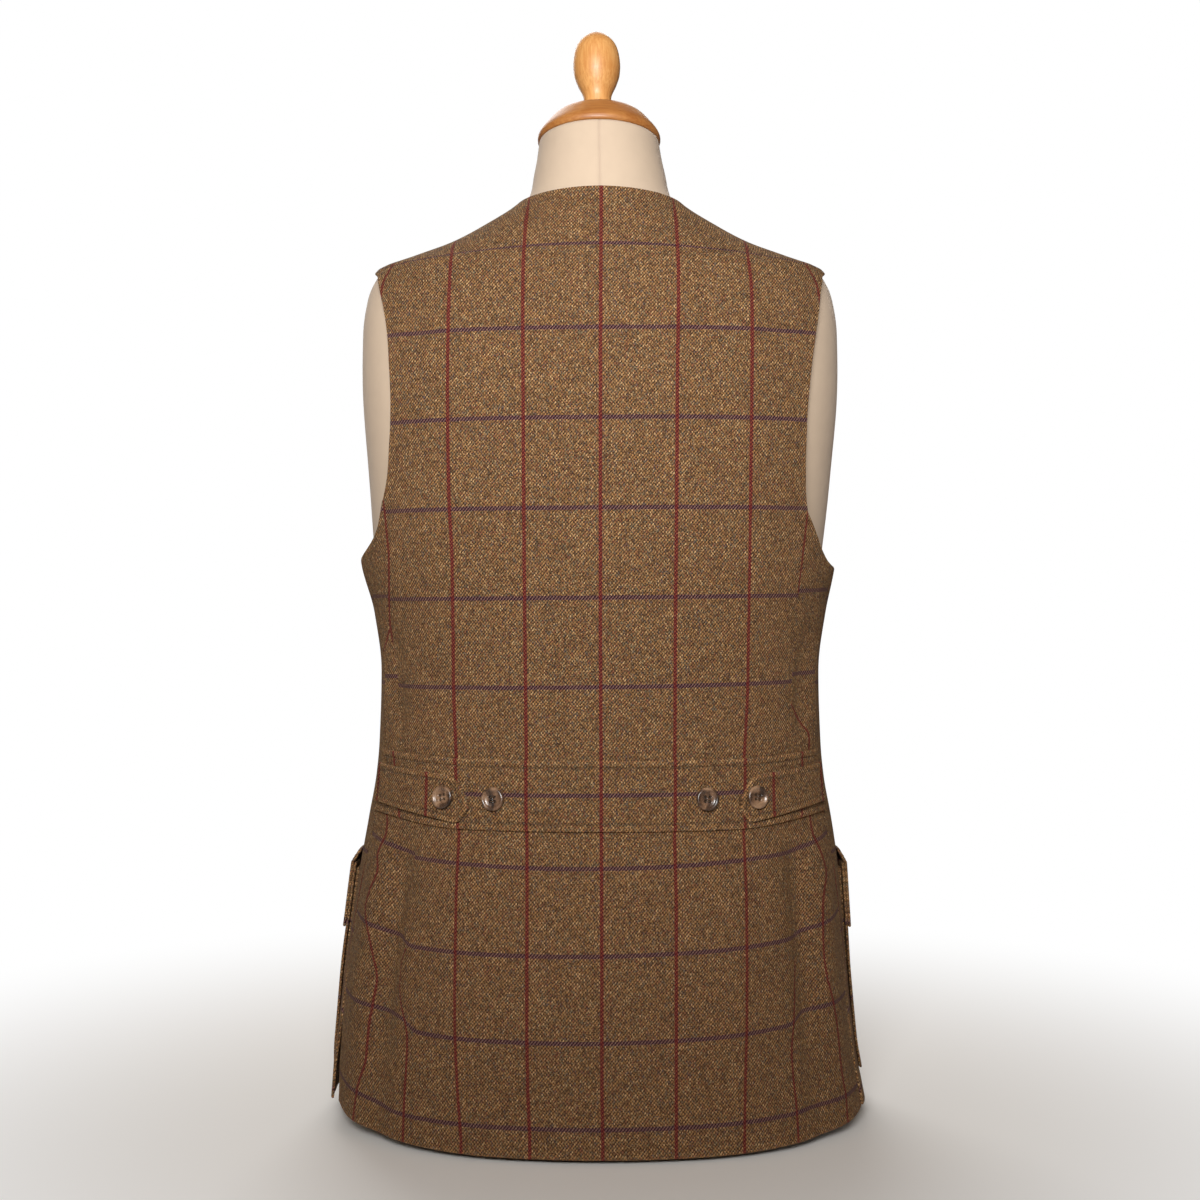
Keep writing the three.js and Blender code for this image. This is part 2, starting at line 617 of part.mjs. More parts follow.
function tabGrid(side, lift) {
  const [tip, root] = [TAB_OUTLINE[0][0], TAB_OUTLINE.at(-1)[0]];
  const outline = TAB_OUTLINE.map(([across, low, high]) => (
    [across + TIP_SHIFT[side] * (root - across) / (root - tip), low, high]));
  const lower = smoothCurve(outline.map((r) => [r[0], r[1]]));
  const upper = smoothCurve(outline.map((r) => [r[0], r[2]]));
  const end = ringAt(285).x[Math.round(RING_STEPS * 0.805)];
  const columns = [];
  for (let c = 0; c <= TAB_COLUMNS; c++) {
    columns.push(c < 4 ? outline[c][0]
      : lerp(outline[3][0], end, ((c - 3) / (TAB_COLUMNS - 3)) ** 0.9));
  }
  return [0, 0.33, 0.67, 1].map((share) => columns.map((across) => {
    const height = lerp(lower(across), upper(across), share);
    const turn = Math.min(turnAcross(across, height, side), sideSeam(height) - 0.002);
    return place(side * turn, height, lift);
  }));
}

// A turned piece standing straight out of the cloth.
function addButton(name, turn, height, lift, segments) {
  const { point, normal } = place(turn, height);
  const mesh = turnedGeometry(BUTTON_PROFILE, segments);
  const spin = new THREE.Quaternion().setFromUnitVectors(new THREE.Vector3(0, 0, 1), normal);
  const seat = point.addScaledVector(normal, lift + BUTTON_GAP);
  mesh.applyMatrix4(new THREE.Matrix4().compose(seat, spin, new THREE.Vector3(1, 1, 1)));
  add(name, mesh, 'horn');
}

// The panels
const back = backGrid();
add('back_panel', wallGeometry(back, 0, CLOTH), 'tweed');
const levels = frontLevels();
const openRow = levels.indexOf('underarm');
const sides = [['left', 1], ['right', -1]].map(([word, side]) => {
  const panel = sideGrid(side);
  add(`side_panel_${word}`, wallGeometry(panel, 0, CLOTH), 'tweed');
  const front = frontGrid(side);
  const keep = (row, column) => row < openRow || column >= JUNCTION_COLUMN;
  add(`front_panel_${word}`, wallGeometry(front, 0, CLOTH, keep), 'tweed');
  return { word, side, panel, front };
});

// The band, the tabs and their buttons
const bandLift = LAYER_GAP + BAND_WALL;
const tabLift = bandLift + TAB_GAP + TAB_WALL;
add('back_band', wallGeometry(bandGrid(back, sides[0].panel, sides[1].panel), bandLift, BAND_WALL), 'tweed');
for (const { word, side } of sides) {
  add(`tab_${word}`, wallGeometry(tabGrid(side, 0), tabLift, TAB_WALL), 'tweed');
  const bandTurn = turnAcross(BAND_BUTTON.across, BAND_BUTTON.height, side);
  const tabTurn = turnAcross(TAB_BUTTON.across, TAB_BUTTON.height, side);
  addButton(`band_button_${word}`, side * bandTurn, BAND_BUTTON.height, bandLift, 20);
  addButton(`tab_button_${word}`, side * tabTurn, TAB_BUTTON.height, tabLift, 20);
}

// The front closing
FRONT_BUTTON_HEIGHTS.forEach((height, i) => {
  addButton(`front_button_${i + 1}`, 1.9999, height, 0, 16);
});

// The patch pockets: a folded bellows layer, the face and a flap, one over the other
const bellowsLift = LAYER_GAP + BELLOWS_WALL;
const faceLift = bellowsLift + LAYER_GAP + POCKET_WALL;
const flapLift = faceLift + LAYER_GAP + FLAP_WALL;
for (const { word, side, front } of sides) {
  const row = (height) => levels.indexOf(height);
  const { back: p, backInset: q, frontInset: r, front: s } = POCKET_COLUMNS;
  const inner = cut(front, [row(POCKET_ROWS.bottomInset), row(POCKET_ROWS.topInset)], [q, r]);
  add(`pocket_bellows_${word}`, wallGeometry(inner, bellowsLift, BELLOWS_WALL), 'tweed');
  const face = cut(front, [row(POCKET_ROWS.bottom), row(POCKET_ROWS.top)], [p, s]);
  add(`pocket_face_${word}`, wallGeometry(face, faceLift, POCKET_WALL), 'tweed');
  const flap = cut(front, [row(POCKET_ROWS.flap), row(POCKET_ROWS.flapTop)], [p, s]);
  const drop = flapLift - LAYER_GAP - FLAP_WALL;
  flap[flap.length - 1] = flap[flap.length - 1].map(({ point, normal, turn, height }) => ({
    point: point.clone().addScaledVector(normal, -drop), normal, turn, height,
  }));
  add(`pocket_flap_${word}`, wallGeometry(flap, flapLift, FLAP_WALL), 'tweed');
  const middle = 2 - 201 / ringAt(POCKET_BUTTON_HEIGHT).frontQuarter;
  addButton(`pocket_button_${word}`, side * middle, POCKET_BUTTON_HEIGHT, flapLift, 16);
}

// The dress form: torso and neck in one, then the turned cap and its knob
function formRings() {
  const heights = [0, 8, 25, 60, 120, 200, 280, 340, 400, 460, 520, 570, 610, 640, 660, 676,
    688, 696, 703, 711, 720.5, 732, 742, 751, 760, 770, 785, 800, 815];
  return heights.map((height) => {
    const ring = [];
    for (let c = 0; c < FORM_COLUMNS; c++) {
      const turn = (c / FORM_COLUMNS) * 4 - 2 + 0.0001;
      const normal = outward(turn, height);
      normal.z *= smoothStep(640, 690, height) * (1 - smoothStep(764, 800, height));
      const share = 1 - smoothStep(764, 790, height);
      ring.push(skin(turn, height).addScaledVector(
        normal.normalize(), -(CLOTH * share + formEase(height)),
      ));
    }
    return ring;
  });
}

add('form_torso', loftedGeometry(formRings()), 'cover');
// The cap stands square on the tilted neck. The knob is turned on the same line and leans
// a little to the wearer's left.
const tilt = THREE.MathUtils.degToRad(NECK_TILT);
const neckAxis = new THREE.Vector3(0, -Math.sin(tilt), Math.cos(tilt));
const neckMiddle = new THREE.Vector3(sway(NECK_TOP), ringAt(NECK_TOP).middle, NECK_TOP);
const capHeight = CAP_PROFILE.at(-1)[1];
function addTurned(name, profile, distance, across, lean, segments) {
  const spin = new THREE.Quaternion().setFromUnitVectors(new THREE.Vector3(0, 0, 1), neckAxis);
  const side = new THREE.Quaternion().setFromAxisAngle(new THREE.Vector3(0, 1, 0), lean);
  const seat = neckMiddle.clone().addScaledVector(neckAxis, distance);
  seat.x += across;
  const spun = turnedGeometry(profile, segments);
  spun.applyMatrix4(new THREE.Matrix4().compose(
    seat, spin.multiply(side), new THREE.Vector3(1, 1, 1),
  ));
  add(name, spun, 'beech');
}
addTurned('neck_cap', CAP_PROFILE, LAYER_GAP, 0, 0, 36);
addTurned('cap_knob', KNOB_PROFILE, capHeight + 2 * LAYER_GAP + 0.3, 1.2, 0.02, 28);

export default group;
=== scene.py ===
"""Looks of a suit waistcoat in checked tweed, standing on a limbless dress form.

Sizes are millimetres and become metres where a mesh is made. A place on the worn cloth is
written (turn, height): turn 0 is the centre back, 1 the side, 2 the centre front, and the
wearer's right side has the same turns with a minus sign. The wearer's left is +X.
"""

import logging
import math
from dataclasses import dataclass, field
from enum import Enum
from typing import Any, Sequence

import bpy
import numpy as np
from mathutils import Matrix, Quaternion, Vector


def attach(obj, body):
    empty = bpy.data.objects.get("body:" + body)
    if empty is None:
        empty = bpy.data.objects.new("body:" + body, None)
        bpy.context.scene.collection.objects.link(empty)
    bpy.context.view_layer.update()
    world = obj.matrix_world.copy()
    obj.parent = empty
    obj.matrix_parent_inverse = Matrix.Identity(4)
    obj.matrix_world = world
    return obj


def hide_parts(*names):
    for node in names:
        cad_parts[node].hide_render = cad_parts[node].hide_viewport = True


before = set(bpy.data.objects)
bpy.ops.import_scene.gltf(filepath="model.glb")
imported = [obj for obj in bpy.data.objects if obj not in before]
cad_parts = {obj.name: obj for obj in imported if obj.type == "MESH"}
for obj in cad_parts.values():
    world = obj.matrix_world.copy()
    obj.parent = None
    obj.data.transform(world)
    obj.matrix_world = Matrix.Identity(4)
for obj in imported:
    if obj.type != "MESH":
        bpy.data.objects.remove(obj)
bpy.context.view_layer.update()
LOG = logging.getLogger("waistcoat")
MM = 0.001

# Sizes that the solids have too.
CLOTH = 2.4              # wall of a panel: tweed, interlining and lining
SEAM_GAP = 0.3
LAYER_GAP = 0.3
HEM = 4.0                # height of the level hem over the floor
TRUNK_TOP = 425.0        # last level row below the arms
SHOULDER_HEIGHT = 703.0
NECK_HEIGHT = 759.6
NECK_RISE = 5.0
SIDE_SEAM_TOP = 0.85
JUNCTION = 1.38          # turn where the front armhole starts to climb
JUNCTION_HEIGHT = 505.0
BREAK_HEIGHT = 500.0     # bottom of the V neck
OVERLAP = 14.0
DART_END = (138.0, 186.0)  # the side-back seam runs out as a dart between these heights
UNDER_DROP = 2.8
VENT_TOP = 125.0
BAND_WALL = 2.2
TAB_WALL = 2.2
TAB_GAP = 0.8
BELLOWS_WALL = 3.0
POCKET_WALL = 2.0
FLAP_WALL = 2.2
BUTTON_GAP = 0.45
BAND_LIFT = LAYER_GAP + BAND_WALL
TAB_LIFT = BAND_LIFT + TAB_GAP + TAB_WALL
BELLOWS_LIFT = LAYER_GAP + BELLOWS_WALL
FACE_LIFT = BELLOWS_LIFT + LAYER_GAP + POCKET_WALL
FLAP_LIFT = FACE_LIFT + LAYER_GAP + FLAP_WALL
NECK_TILT = 9.0          # degrees
NECK_BASE = 760.0
NECK_TOP = 815.0

WARP_REPEAT = 59.5
WEFT_REPEAT = 70.0


class Side(Enum):
    """A side of the garment, with the sign of its turns."""

    LEFT = 1
    RIGHT = -1

    @property
    def word(self) -> str:
        """The side's name in node names."""
        return self.name.lower()


class Finish(Enum):
    """Kinds of finish that each piece is passed with."""

    TWEED = "tweed"
    HORN = "horn"
    COVER = "cover"
    BEECH = "beech"


Rows = Sequence[Sequence[float]]


def smooth_step(start: float, end: float, x: Any) -> Any:
    """Rises smoothly from 0 at start to 1 at end.

    Args:
        start: Where the rise begins.
        end: Where it ends.
        x: One value or an array.

    Returns:
        The share of the rise at x.
    """
    t = np.clip((np.asarray(x, float) - start) / (end - start), 0.0, 1.0)
    return t * t * (3 - 2 * t)


def lerp(a: Any, b: Any, t: Any) -> Any:
    """The value between a and b at share t."""
    return a + (b - a) * t


class SmoothCurve:
    """A smooth curve through rows of (x, y) that never swings past a row."""

    def __init__(self, rows: Rows) -> None:
        """Works out the slope at each row.

        Args:
            rows: The (x, y) rows, with x rising.
        """
        self.x, self.y = np.array(rows, float).T
        rise = np.diff(self.y) / np.diff(self.x)
        self.slope = np.zeros(len(self.x))
        self.slope[0], self.slope[-1] = rise[0], rise[-1]
        before, after = rise[:-1], rise[1:]
        same = before * after > 0
        self.slope[1:-1][same] = 2 * (before * after)[same] / (before + after)[same]

    def __call__(self, x: Any) -> np.ndarray:
        """The curve at x, one value or an array."""
        x = np.asarray(x, float)
        i = np.clip(np.searchsorted(self.x, x, side="right") - 1, 0, len(self.x) - 2)
        span = self.x[i + 1] - self.x[i]
        t = np.clip((x - self.x[i]) / span, 0.0, 1.0)
        t2, t3 = t * t, t * t * t
        return (
            (2 * t3 - 3 * t2 + 1) * self.y[i]
            + (t3 - 2 * t2 + t) * span * self.slope[i]
            + (3 * t2 - 2 * t3) * self.y[i + 1]
            + (t3 - t2) * span * self.slope[i + 1]
        )


@dataclass(frozen=True)
class Fold:
    """A soft vertical fold: where it is, how wide, and how far it goes in or out."""

    profile: Rows
    turn: float
    width: float
    depth: float
    side: int = 0


SKIRT_PROFILE = [(4, 0.35), (60, 0.6), (140, 1), (200, 1), (235, 0.55), (252, 0)]
WAIST_PROFILE = [(308, 0), (345, 1), (385, 0.6), (430, 0)]
ARM_PROFILE = [(580, 0), (640, 1), (700, 0)]
FRONT_PROFILE = [(240, 0), (330, 1), (430, 0)]


@dataclass
class Body:
    """The outer surface of the worn cloth, with its main folds."""

    # Height, half width, back depth, front depth, y of the widest place, and the two
    # exponents that make the back and front halves squarer than an ellipse.
    rows: Rows = (
        (0, 226, 160, -152, 5, 2.2, 2.25), (67, 217.5, 157, -150, 5, 2.2, 2.25),
        (131, 210.5, 153, -147, 5, 2.2, 2.25), (170, 206, 149, -145, 5, 2.2, 2.25),
        (209, 201.5, 143, -142, 5, 2.2, 2.25), (250, 195, 134, -138, 5, 2.2, 2.25),
        (284, 189, 128.5, -135, 5, 2.2, 2.25), (311, 186.5, 127, -134, 5, 2.2, 2.25),
        (373, 184.5, 129, -135, 5, 2.3, 2.3), (420, 190, 133, -138, 5, 2.4, 2.4),
        (465, 199.5, 137, -141, 6, 2.55, 2.5), (540, 203, 139, -137, 10, 2.75, 2.6),
        (600, 205, 137, -127, 15, 2.8, 2.6), (650, 203, 131, -113, 20, 2.8, 2.4),
        (680, 198, 123, -99, 23, 2.7, 2.25), (702.5, 186.5, 113, -84, 25, 2.45, 2.1),
        (712.5, 163, 107, -75, 26, 2.2, 1.95), (725, 129.5, 101, -65, 26, 2.1, 1.85),
        (740.5, 100, 93.5, -55, 27, 2, 1.8), (760, 69.5, 86, -47, 27, 2, 1.8),
        (770, 61.5, 81.5, -43.5, 25, 2, 1.85), (785, 56.5, 75.5, -40, 20, 2, 1.9),
        (800, 53, 70.5, -38, 17, 2, 2), (815, 50.5, 65, -35, 15, 2, 2),
    )
    sway_rows: Rows = (
        (0, 0), (30, 2), (55, 3.6), (110, 3.8), (170, 2), (250, 0), (420, 0), (465, 1.5),
        (520, 0.5), (600, 0), (760, 0), (815, 0.8),
    )
    folds: Sequence[Fold] = (
        Fold(SKIRT_PROFILE, 0.62, 0.05, -8, 1),
        Fold(SKIRT_PROFILE, 0.625, 0.052, -7.5, -1),
        Fold(SKIRT_PROFILE, 0.735, 0.06, 3),
        Fold(SKIRT_PROFILE, 0.36, 0.1, 2.2),
        Fold(SKIRT_PROFILE, 0.15, 0.09, -1.5),
        Fold(WAIST_PROFILE, 0.72, 0.05, -3.5),
        Fold(WAIST_PROFILE, 0.8, 0.05, 2),
        Fold(ARM_PROFILE, 0.54, 0.05, -2),
        Fold(FRONT_PROFILE, 1.72, 0.1, -2),
    )
    lowest: float = -6.0
    highest: float = 842.0
    ring_steps: int = 240
    turn_steps: int = 1600

    def __post_init__(self) -> None:
        """Tabulates a ring for each millimetre of height, by its running length."""
        self.heights = np.arange(self.lowest, self.highest, 1.0)
        half, back, front, middle, back_power, front_power = (
            SmoothCurve([(row[0], row[column]) for row in self.rows])(self.heights)[:, None]
            for column in range(1, 7)
        )
        steps = self.ring_steps
        angle = np.linspace(0.0, math.pi, 2 * steps + 1)
        behind = np.arange(2 * steps + 1) <= steps
        power = np.where(behind, 2 / back_power, 2 / front_power)
        across = np.clip(np.sin(angle), 0, None) ** power
        along = np.abs(np.cos(angle)) ** power
        x = half * across
        y = np.where(behind, middle + (back - middle) * along, middle - (middle - front) * along)
        pieces = np.hypot(np.diff(x), np.diff(y))
        run = np.concatenate([np.zeros((len(x), 1)), np.cumsum(pieces, axis=1)], axis=1)
        self._quarter = run[:, steps]
        self._front_quarter = run[:, -1] - run[:, steps]
        self._middle = middle[:, 0]
        self.turns = np.linspace(0.0, 2.0, self.turn_steps + 1)
        self._x = np.empty((len(x), len(self.turns)))
        self._y = np.empty_like(self._x)
        for i, (quarter, rest) in enumerate(zip(self._quarter, self._front_quarter)):
            goal = np.where(self.turns <= 1, self.turns * quarter, quarter + (self.turns - 1) * rest)
            self._x[i] = np.interp(goal, run[i], x[i])
            self._y[i] = np.interp(goal, run[i], y[i])
        self.sway = SmoothCurve(self.sway_rows)
        self._profiles = [SmoothCurve(fold.profile) for fold in self.folds]

    def quarter(self, height: Any) -> np.ndarray:
        """The length round the body from centre back to side."""
        return np.interp(height, self.heights, self._quarter)

    def front_quarter(self, height: Any) -> np.ndarray:
        """The length round the body from side to centre front."""
        return np.interp(height, self.heights, self._front_quarter)

    def middle(self, height: Any) -> np.ndarray:
        """The y of the widest place."""
        return np.interp(height, self.heights, self._middle)

    def arc(self, turn: Any, height: Any) -> np.ndarray:
        """The length round the body from the centre back, below 0 on the right."""
        t = np.abs(turn)
        quarter, rest = self.quarter(height), self.front_quarter(height)
        return np.sign(turn) * np.where(t <= 1, t * quarter, quarter + (t - 1) * rest)

    def turn_of(self, arc: Any, height: Any) -> np.ndarray:
        """The turn at a length round the body."""
        quarter, rest = self.quarter(height), self.front_quarter(height)
        past = np.abs(arc) - quarter
        return np.sign(arc) * np.where(past <= 0, np.abs(arc) / quarter, 1 + past / rest)

    def _look_up(self, table: np.ndarray, turn: np.ndarray, height: np.ndarray) -> np.ndarray:
        """Reads a table of rings between its rows and columns."""
        row = np.clip(height - self.lowest, 0, len(self.heights) - 1.001)
        column = np.clip(turn / self.turns[1], 0, len(self.turns) - 1.001)
        i, j = row.astype(int), column.astype(int)
        a, b = row - i, column - j
        low = table[i, j] * (1 - b) + table[i, j + 1] * b
        high = table[i + 1, j] * (1 - b) + table[i + 1, j + 1] * b
        return low * (1 - a) + high * a

    def skin(self, turn: Any, height: Any) -> np.ndarray:
        """Points of the surface with no folds.

        Args:
            turn: Turns, which past 2 carry on round the other side.
            height: Heights.

        Returns:
            An array of points, its last axis x, y, z.
        """
        turn, height = np.broadcast_arrays(np.asarray(turn, float), np.asarray(height, float))
        t = np.where(turn > 2, turn - 4, turn)
        t = np.where(t < -2, t + 4, t)
        side = np.where(t < 0, -1.0, 1.0)
        t = np.abs(t)
        y = self._look_up(self._y, t, height)
        lean = np.tan(np.radians(NECK_TILT * smooth_step(NECK_BASE, NECK_TOP, height)))
        z = height + (y - self.middle(height)) * lean
        x = side * self._look_up(self._x, t, height) + self.sway(height)
        return np.stack([x, y, z], axis=-1)

    def outward(self, turn: Any, height: Any) -> np.ndarray:
        """Unit vectors straight out of the surface."""
        turn, height = np.asarray(turn, float), np.asarray(height, float)
        across = self.skin(turn + 0.004, height) - self.skin(turn - 0.004, height)
        up = self.skin(turn, height + 0.5) - self.skin(turn, height - 0.5)
        normal = np.cross(up, across)
        return normal / np.linalg.norm(normal, axis=-1, keepdims=True)

    def turn_across(self, across: Any, height: Any, side: Any) -> np.ndarray:
        """The turn on the back at a distance from the centre line, measured across."""
        reach, height = np.broadcast_arrays(
            np.asarray(across, float) - side * self.sway(height), np.asarray(height, float)
        )
        low, high = np.zeros(reach.shape), np.ones(reach.shape)
        for _ in range(22):
            middle = (low + high) / 2
            short = self._look_up(self._x, middle, height) < reach
            low, high = np.where(short, middle, low), np.where(short, high, middle)
        return (low + high) / 2

    def fold(self, turn: np.ndarray, height: np.ndarray) -> np.ndarray:
        """How far the folds move the cloth out."""
        total = np.zeros(np.broadcast(turn, height).shape)
        side = np.where(turn < 0, -1, 1)
        for fold, profile in zip(self.folds, self._profiles):
            first, last = fold.profile[0][0], fold.profile[-1][0]
            there = (fold.side == 0) | (side == fold.side)
            there = there & (height <= last)
            if profile(first) == 0:
                there = there & (height >= first)
            away = (np.abs(turn) - fold.turn) / fold.width
            total += np.where(there, fold.depth * profile(height) * np.exp(-away * away), 0)
        return total

    def place(self, turn: Any, height: Any, lift: Any = 0.0) -> tuple[np.ndarray, np.ndarray]:
        """Points of the folded cloth, moved out by lift, and the directions out of it."""
        turn, height = np.broadcast_arrays(np.asarray(turn, float), np.asarray(height, float))
        normal = self.outward(turn, height)
        out = self.fold(turn, height) + lift
        return self.skin(turn, height) + normal * out[..., None], normal


@dataclass
class Seams:
    """Where the panels of the garment end."""

    body: Body
    # Height and distance from the centre line, measured across.
    side_back: dict[Side, Rows] = field(default_factory=lambda: {
        Side.LEFT: (
            (4, 157), (60, 150.5), (95, 149.5), (161, 154.5), (225, 149.5), (250, 150),
            (306, 160.5), (343, 165.7), (368, 167), (385, 168.6), (412, 172.5), (440, 171),
            (466, 170), (484, 171.5), (511, 174),
        ),
        Side.RIGHT: (
            (4, 160), (60, 157), (103, 156.5), (170, 159), (222, 155), (250, 150.5),
            (306, 153), (370, 156), (420, 158), (478, 164), (500, 166.2),
        ),
    })
    back_armhole: dict[Side, Rows] = field(default_factory=lambda: {
        Side.LEFT: (
            (511, 174), (522, 171), (538, 168.8), (554, 167.8), (570, 166.8), (587, 166.5),
            (603, 167), (619, 168), (636, 169.2), (652, 171.2), (665, 174), (680, 178),
            (695, 182),
        ),
        Side.RIGHT: (
            (500, 166.2), (510, 164.6), (520, 163.8), (539, 163.6), (557, 164), (576, 164.6),
            (595, 166.2), (605, 167.2), (624, 169.6), (643, 172.5), (653, 174.2), (664, 176),
            (675, 177.6), (686, 179.8), (695, 182),
        ),
    })
    # Height and turn.
    back_shoulder: Rows = ((695, 0.822), (698, 0.868), (700.4, 0.915), (702.1, 0.957), (703, 1))
    side_seam: Rows = (
        (4, 0.855), (125, 0.85), (200, 0.835), (285, 0.81), (345, 0.81), (425, 0.83), (476, 0.85),
    )
    front_armhole: Rows = (
        (505, 1.38), (530, 1.415), (565, 1.445), (600, 1.457), (635, 1.432), (665, 1.373),
        (682, 1.287), (690, 1.235), (695, 1.185), (699, 1.125), (701.6, 1.06), (703, 1),
    )
    v_edge: Rows = (
        (500, 2.049), (520, 1.988), (540, 1.935), (580, 1.887), (620, 1.848), (660, 1.809),
        (695, 1.761), (720, 1.682), (735, 1.58), (748, 1.442), (756, 1.236), (759.6, 1),
    )
    # Turn and height, from the side-back seam on.
    underarm: dict[Side, Rows] = field(default_factory=lambda: {
        Side.LEFT: (
            (0.693, 488.9), (0.738, 477.5), (0.793, 470.8), (0.85, 466.5), (0.92, 462.5),
            (1, 460), (1.1, 457), (1.18, 458.5), (1.26, 468), (1.33, 484), (1.38, 505),
        ),
        Side.RIGHT: (
            (0.66, 491), (0.692, 480.5), (0.73, 470), (0.78, 462.3), (0.85, 458.5), (0.92, 457),
            (1, 456.5), (1.1, 456), (1.18, 458.5), (1.26, 468), (1.33, 484), (1.38, 505),
        ),
    })
    # What rows add to their height near the sides: row height and amount or share.
    band_rise: Rows = ((180, 0), (218, 3), (250, 7), (278, 4.5), (306, 2.5), (345, 0))
    hem_share: Rows = ((4, 1), (24, 0.4), (60, 0.1), (95, 0))
    arm_dip: Rows = ((425, 0), (468, 5.5), (511, 11), (530, 8), (550, 4), (570, 1.5), (590, 0))
    hem_rise: dict[Side, float] = field(
        default_factory=lambda: {Side.LEFT: 14.8, Side.RIGHT: 10.0}
    )

    def __post_init__(self) -> None:
        """Turns the tables into curves."""
        self.seam_top = {side: self.side_back[side][-1][0] for side in Side}
        self._side_back = {side: SmoothCurve(self.side_back[side]) for side in Side}
        self._armhole = {side: SmoothCurve(self.back_armhole[side]) for side in Side}
        self._shoulder = SmoothCurve(self.back_shoulder)
        self.side_turn = SmoothCurve(self.side_seam)
        self.arm_turn = SmoothCurve(self.front_armhole)
        self.v_turn = SmoothCurve(self.v_edge)
        self.under = {}
        for side in Side:
            height, across = self.side_back[side][-1]
            first = float(self.body.turn_across(across, height, side.value))
            self.under[side] = SmoothCurve([(first, height), *self.underarm[side]])

    def row_height(self, level: Any, turn: Any) -> np.ndarray:
        """The height of a level row at one turn, with what it adds near the sides."""
        t = np.abs(turn)
        left = np.asarray(turn) >= 0
        band = smooth_step(0.42, 0.8, t) * (1 - smooth_step(1, 1.4, t))
        hem = np.where(t < 0.86, (t / 0.86) ** 3.2, 1 - smooth_step(0.95, 1.7, t))
        dip = np.where(left, 0.0, smooth_step(0.1, 0.6, t))
        rise = np.where(left, self.hem_rise[Side.LEFT], self.hem_rise[Side.RIGHT])
        columns = [np.array(rows, float).T for rows in (self.band_rise, self.hem_share, self.arm_dip)]
        add_band, share, arm = (np.interp(level, x, y) for x, y in columns)
        return level + add_band * band + share * rise * hem - arm * dip

    def back_edge(self, height: Any, side: Side) -> np.ndarray:
        """The turn where the back panel ends: side-back seam, armhole or shoulder."""
        body = self.body
        seam = body.turn_across(self._side_back[side](height), height, side.value)
        arm = body.turn_across(self._armhole[side](height), height, side.value)
        shoulder = self._shoulder(height)
        edge = np.where(np.asarray(height) < self.back_shoulder[0][0], arm, shoulder)
        return np.where(np.asarray(height) <= self.seam_top[side], seam, edge)

    def half_gap(self, height: Any) -> np.ndarray:
        """Half the seam's gap, as a turn."""
        return SEAM_GAP / 2 / self.body.quarter(height)

    def dart_gap(self, height: Any) -> np.ndarray:
        """Half the side-back seam's gap, as a turn: nothing shows below the dart's end."""
        gap = lerp(0.02, SEAM_GAP / 2, smooth_step(*DART_END, height))
        return gap / self.body.quarter(height)

    def vent(self, height: Any, side: Side) -> tuple[np.ndarray, np.ndarray, np.ndarray]:
        """The vent's gap, how far its front edge stands out, and its back edge."""
        open_share = 1 - smooth_step(HEM, VENT_TOP, height)
        if side is Side.LEFT:
            return lerp(SEAM_GAP, 7, open_share), 3 * open_share, -2 * open_share
        return lerp(SEAM_GAP, 3.5, open_share), 0.6 * open_share, -0.6 * open_share


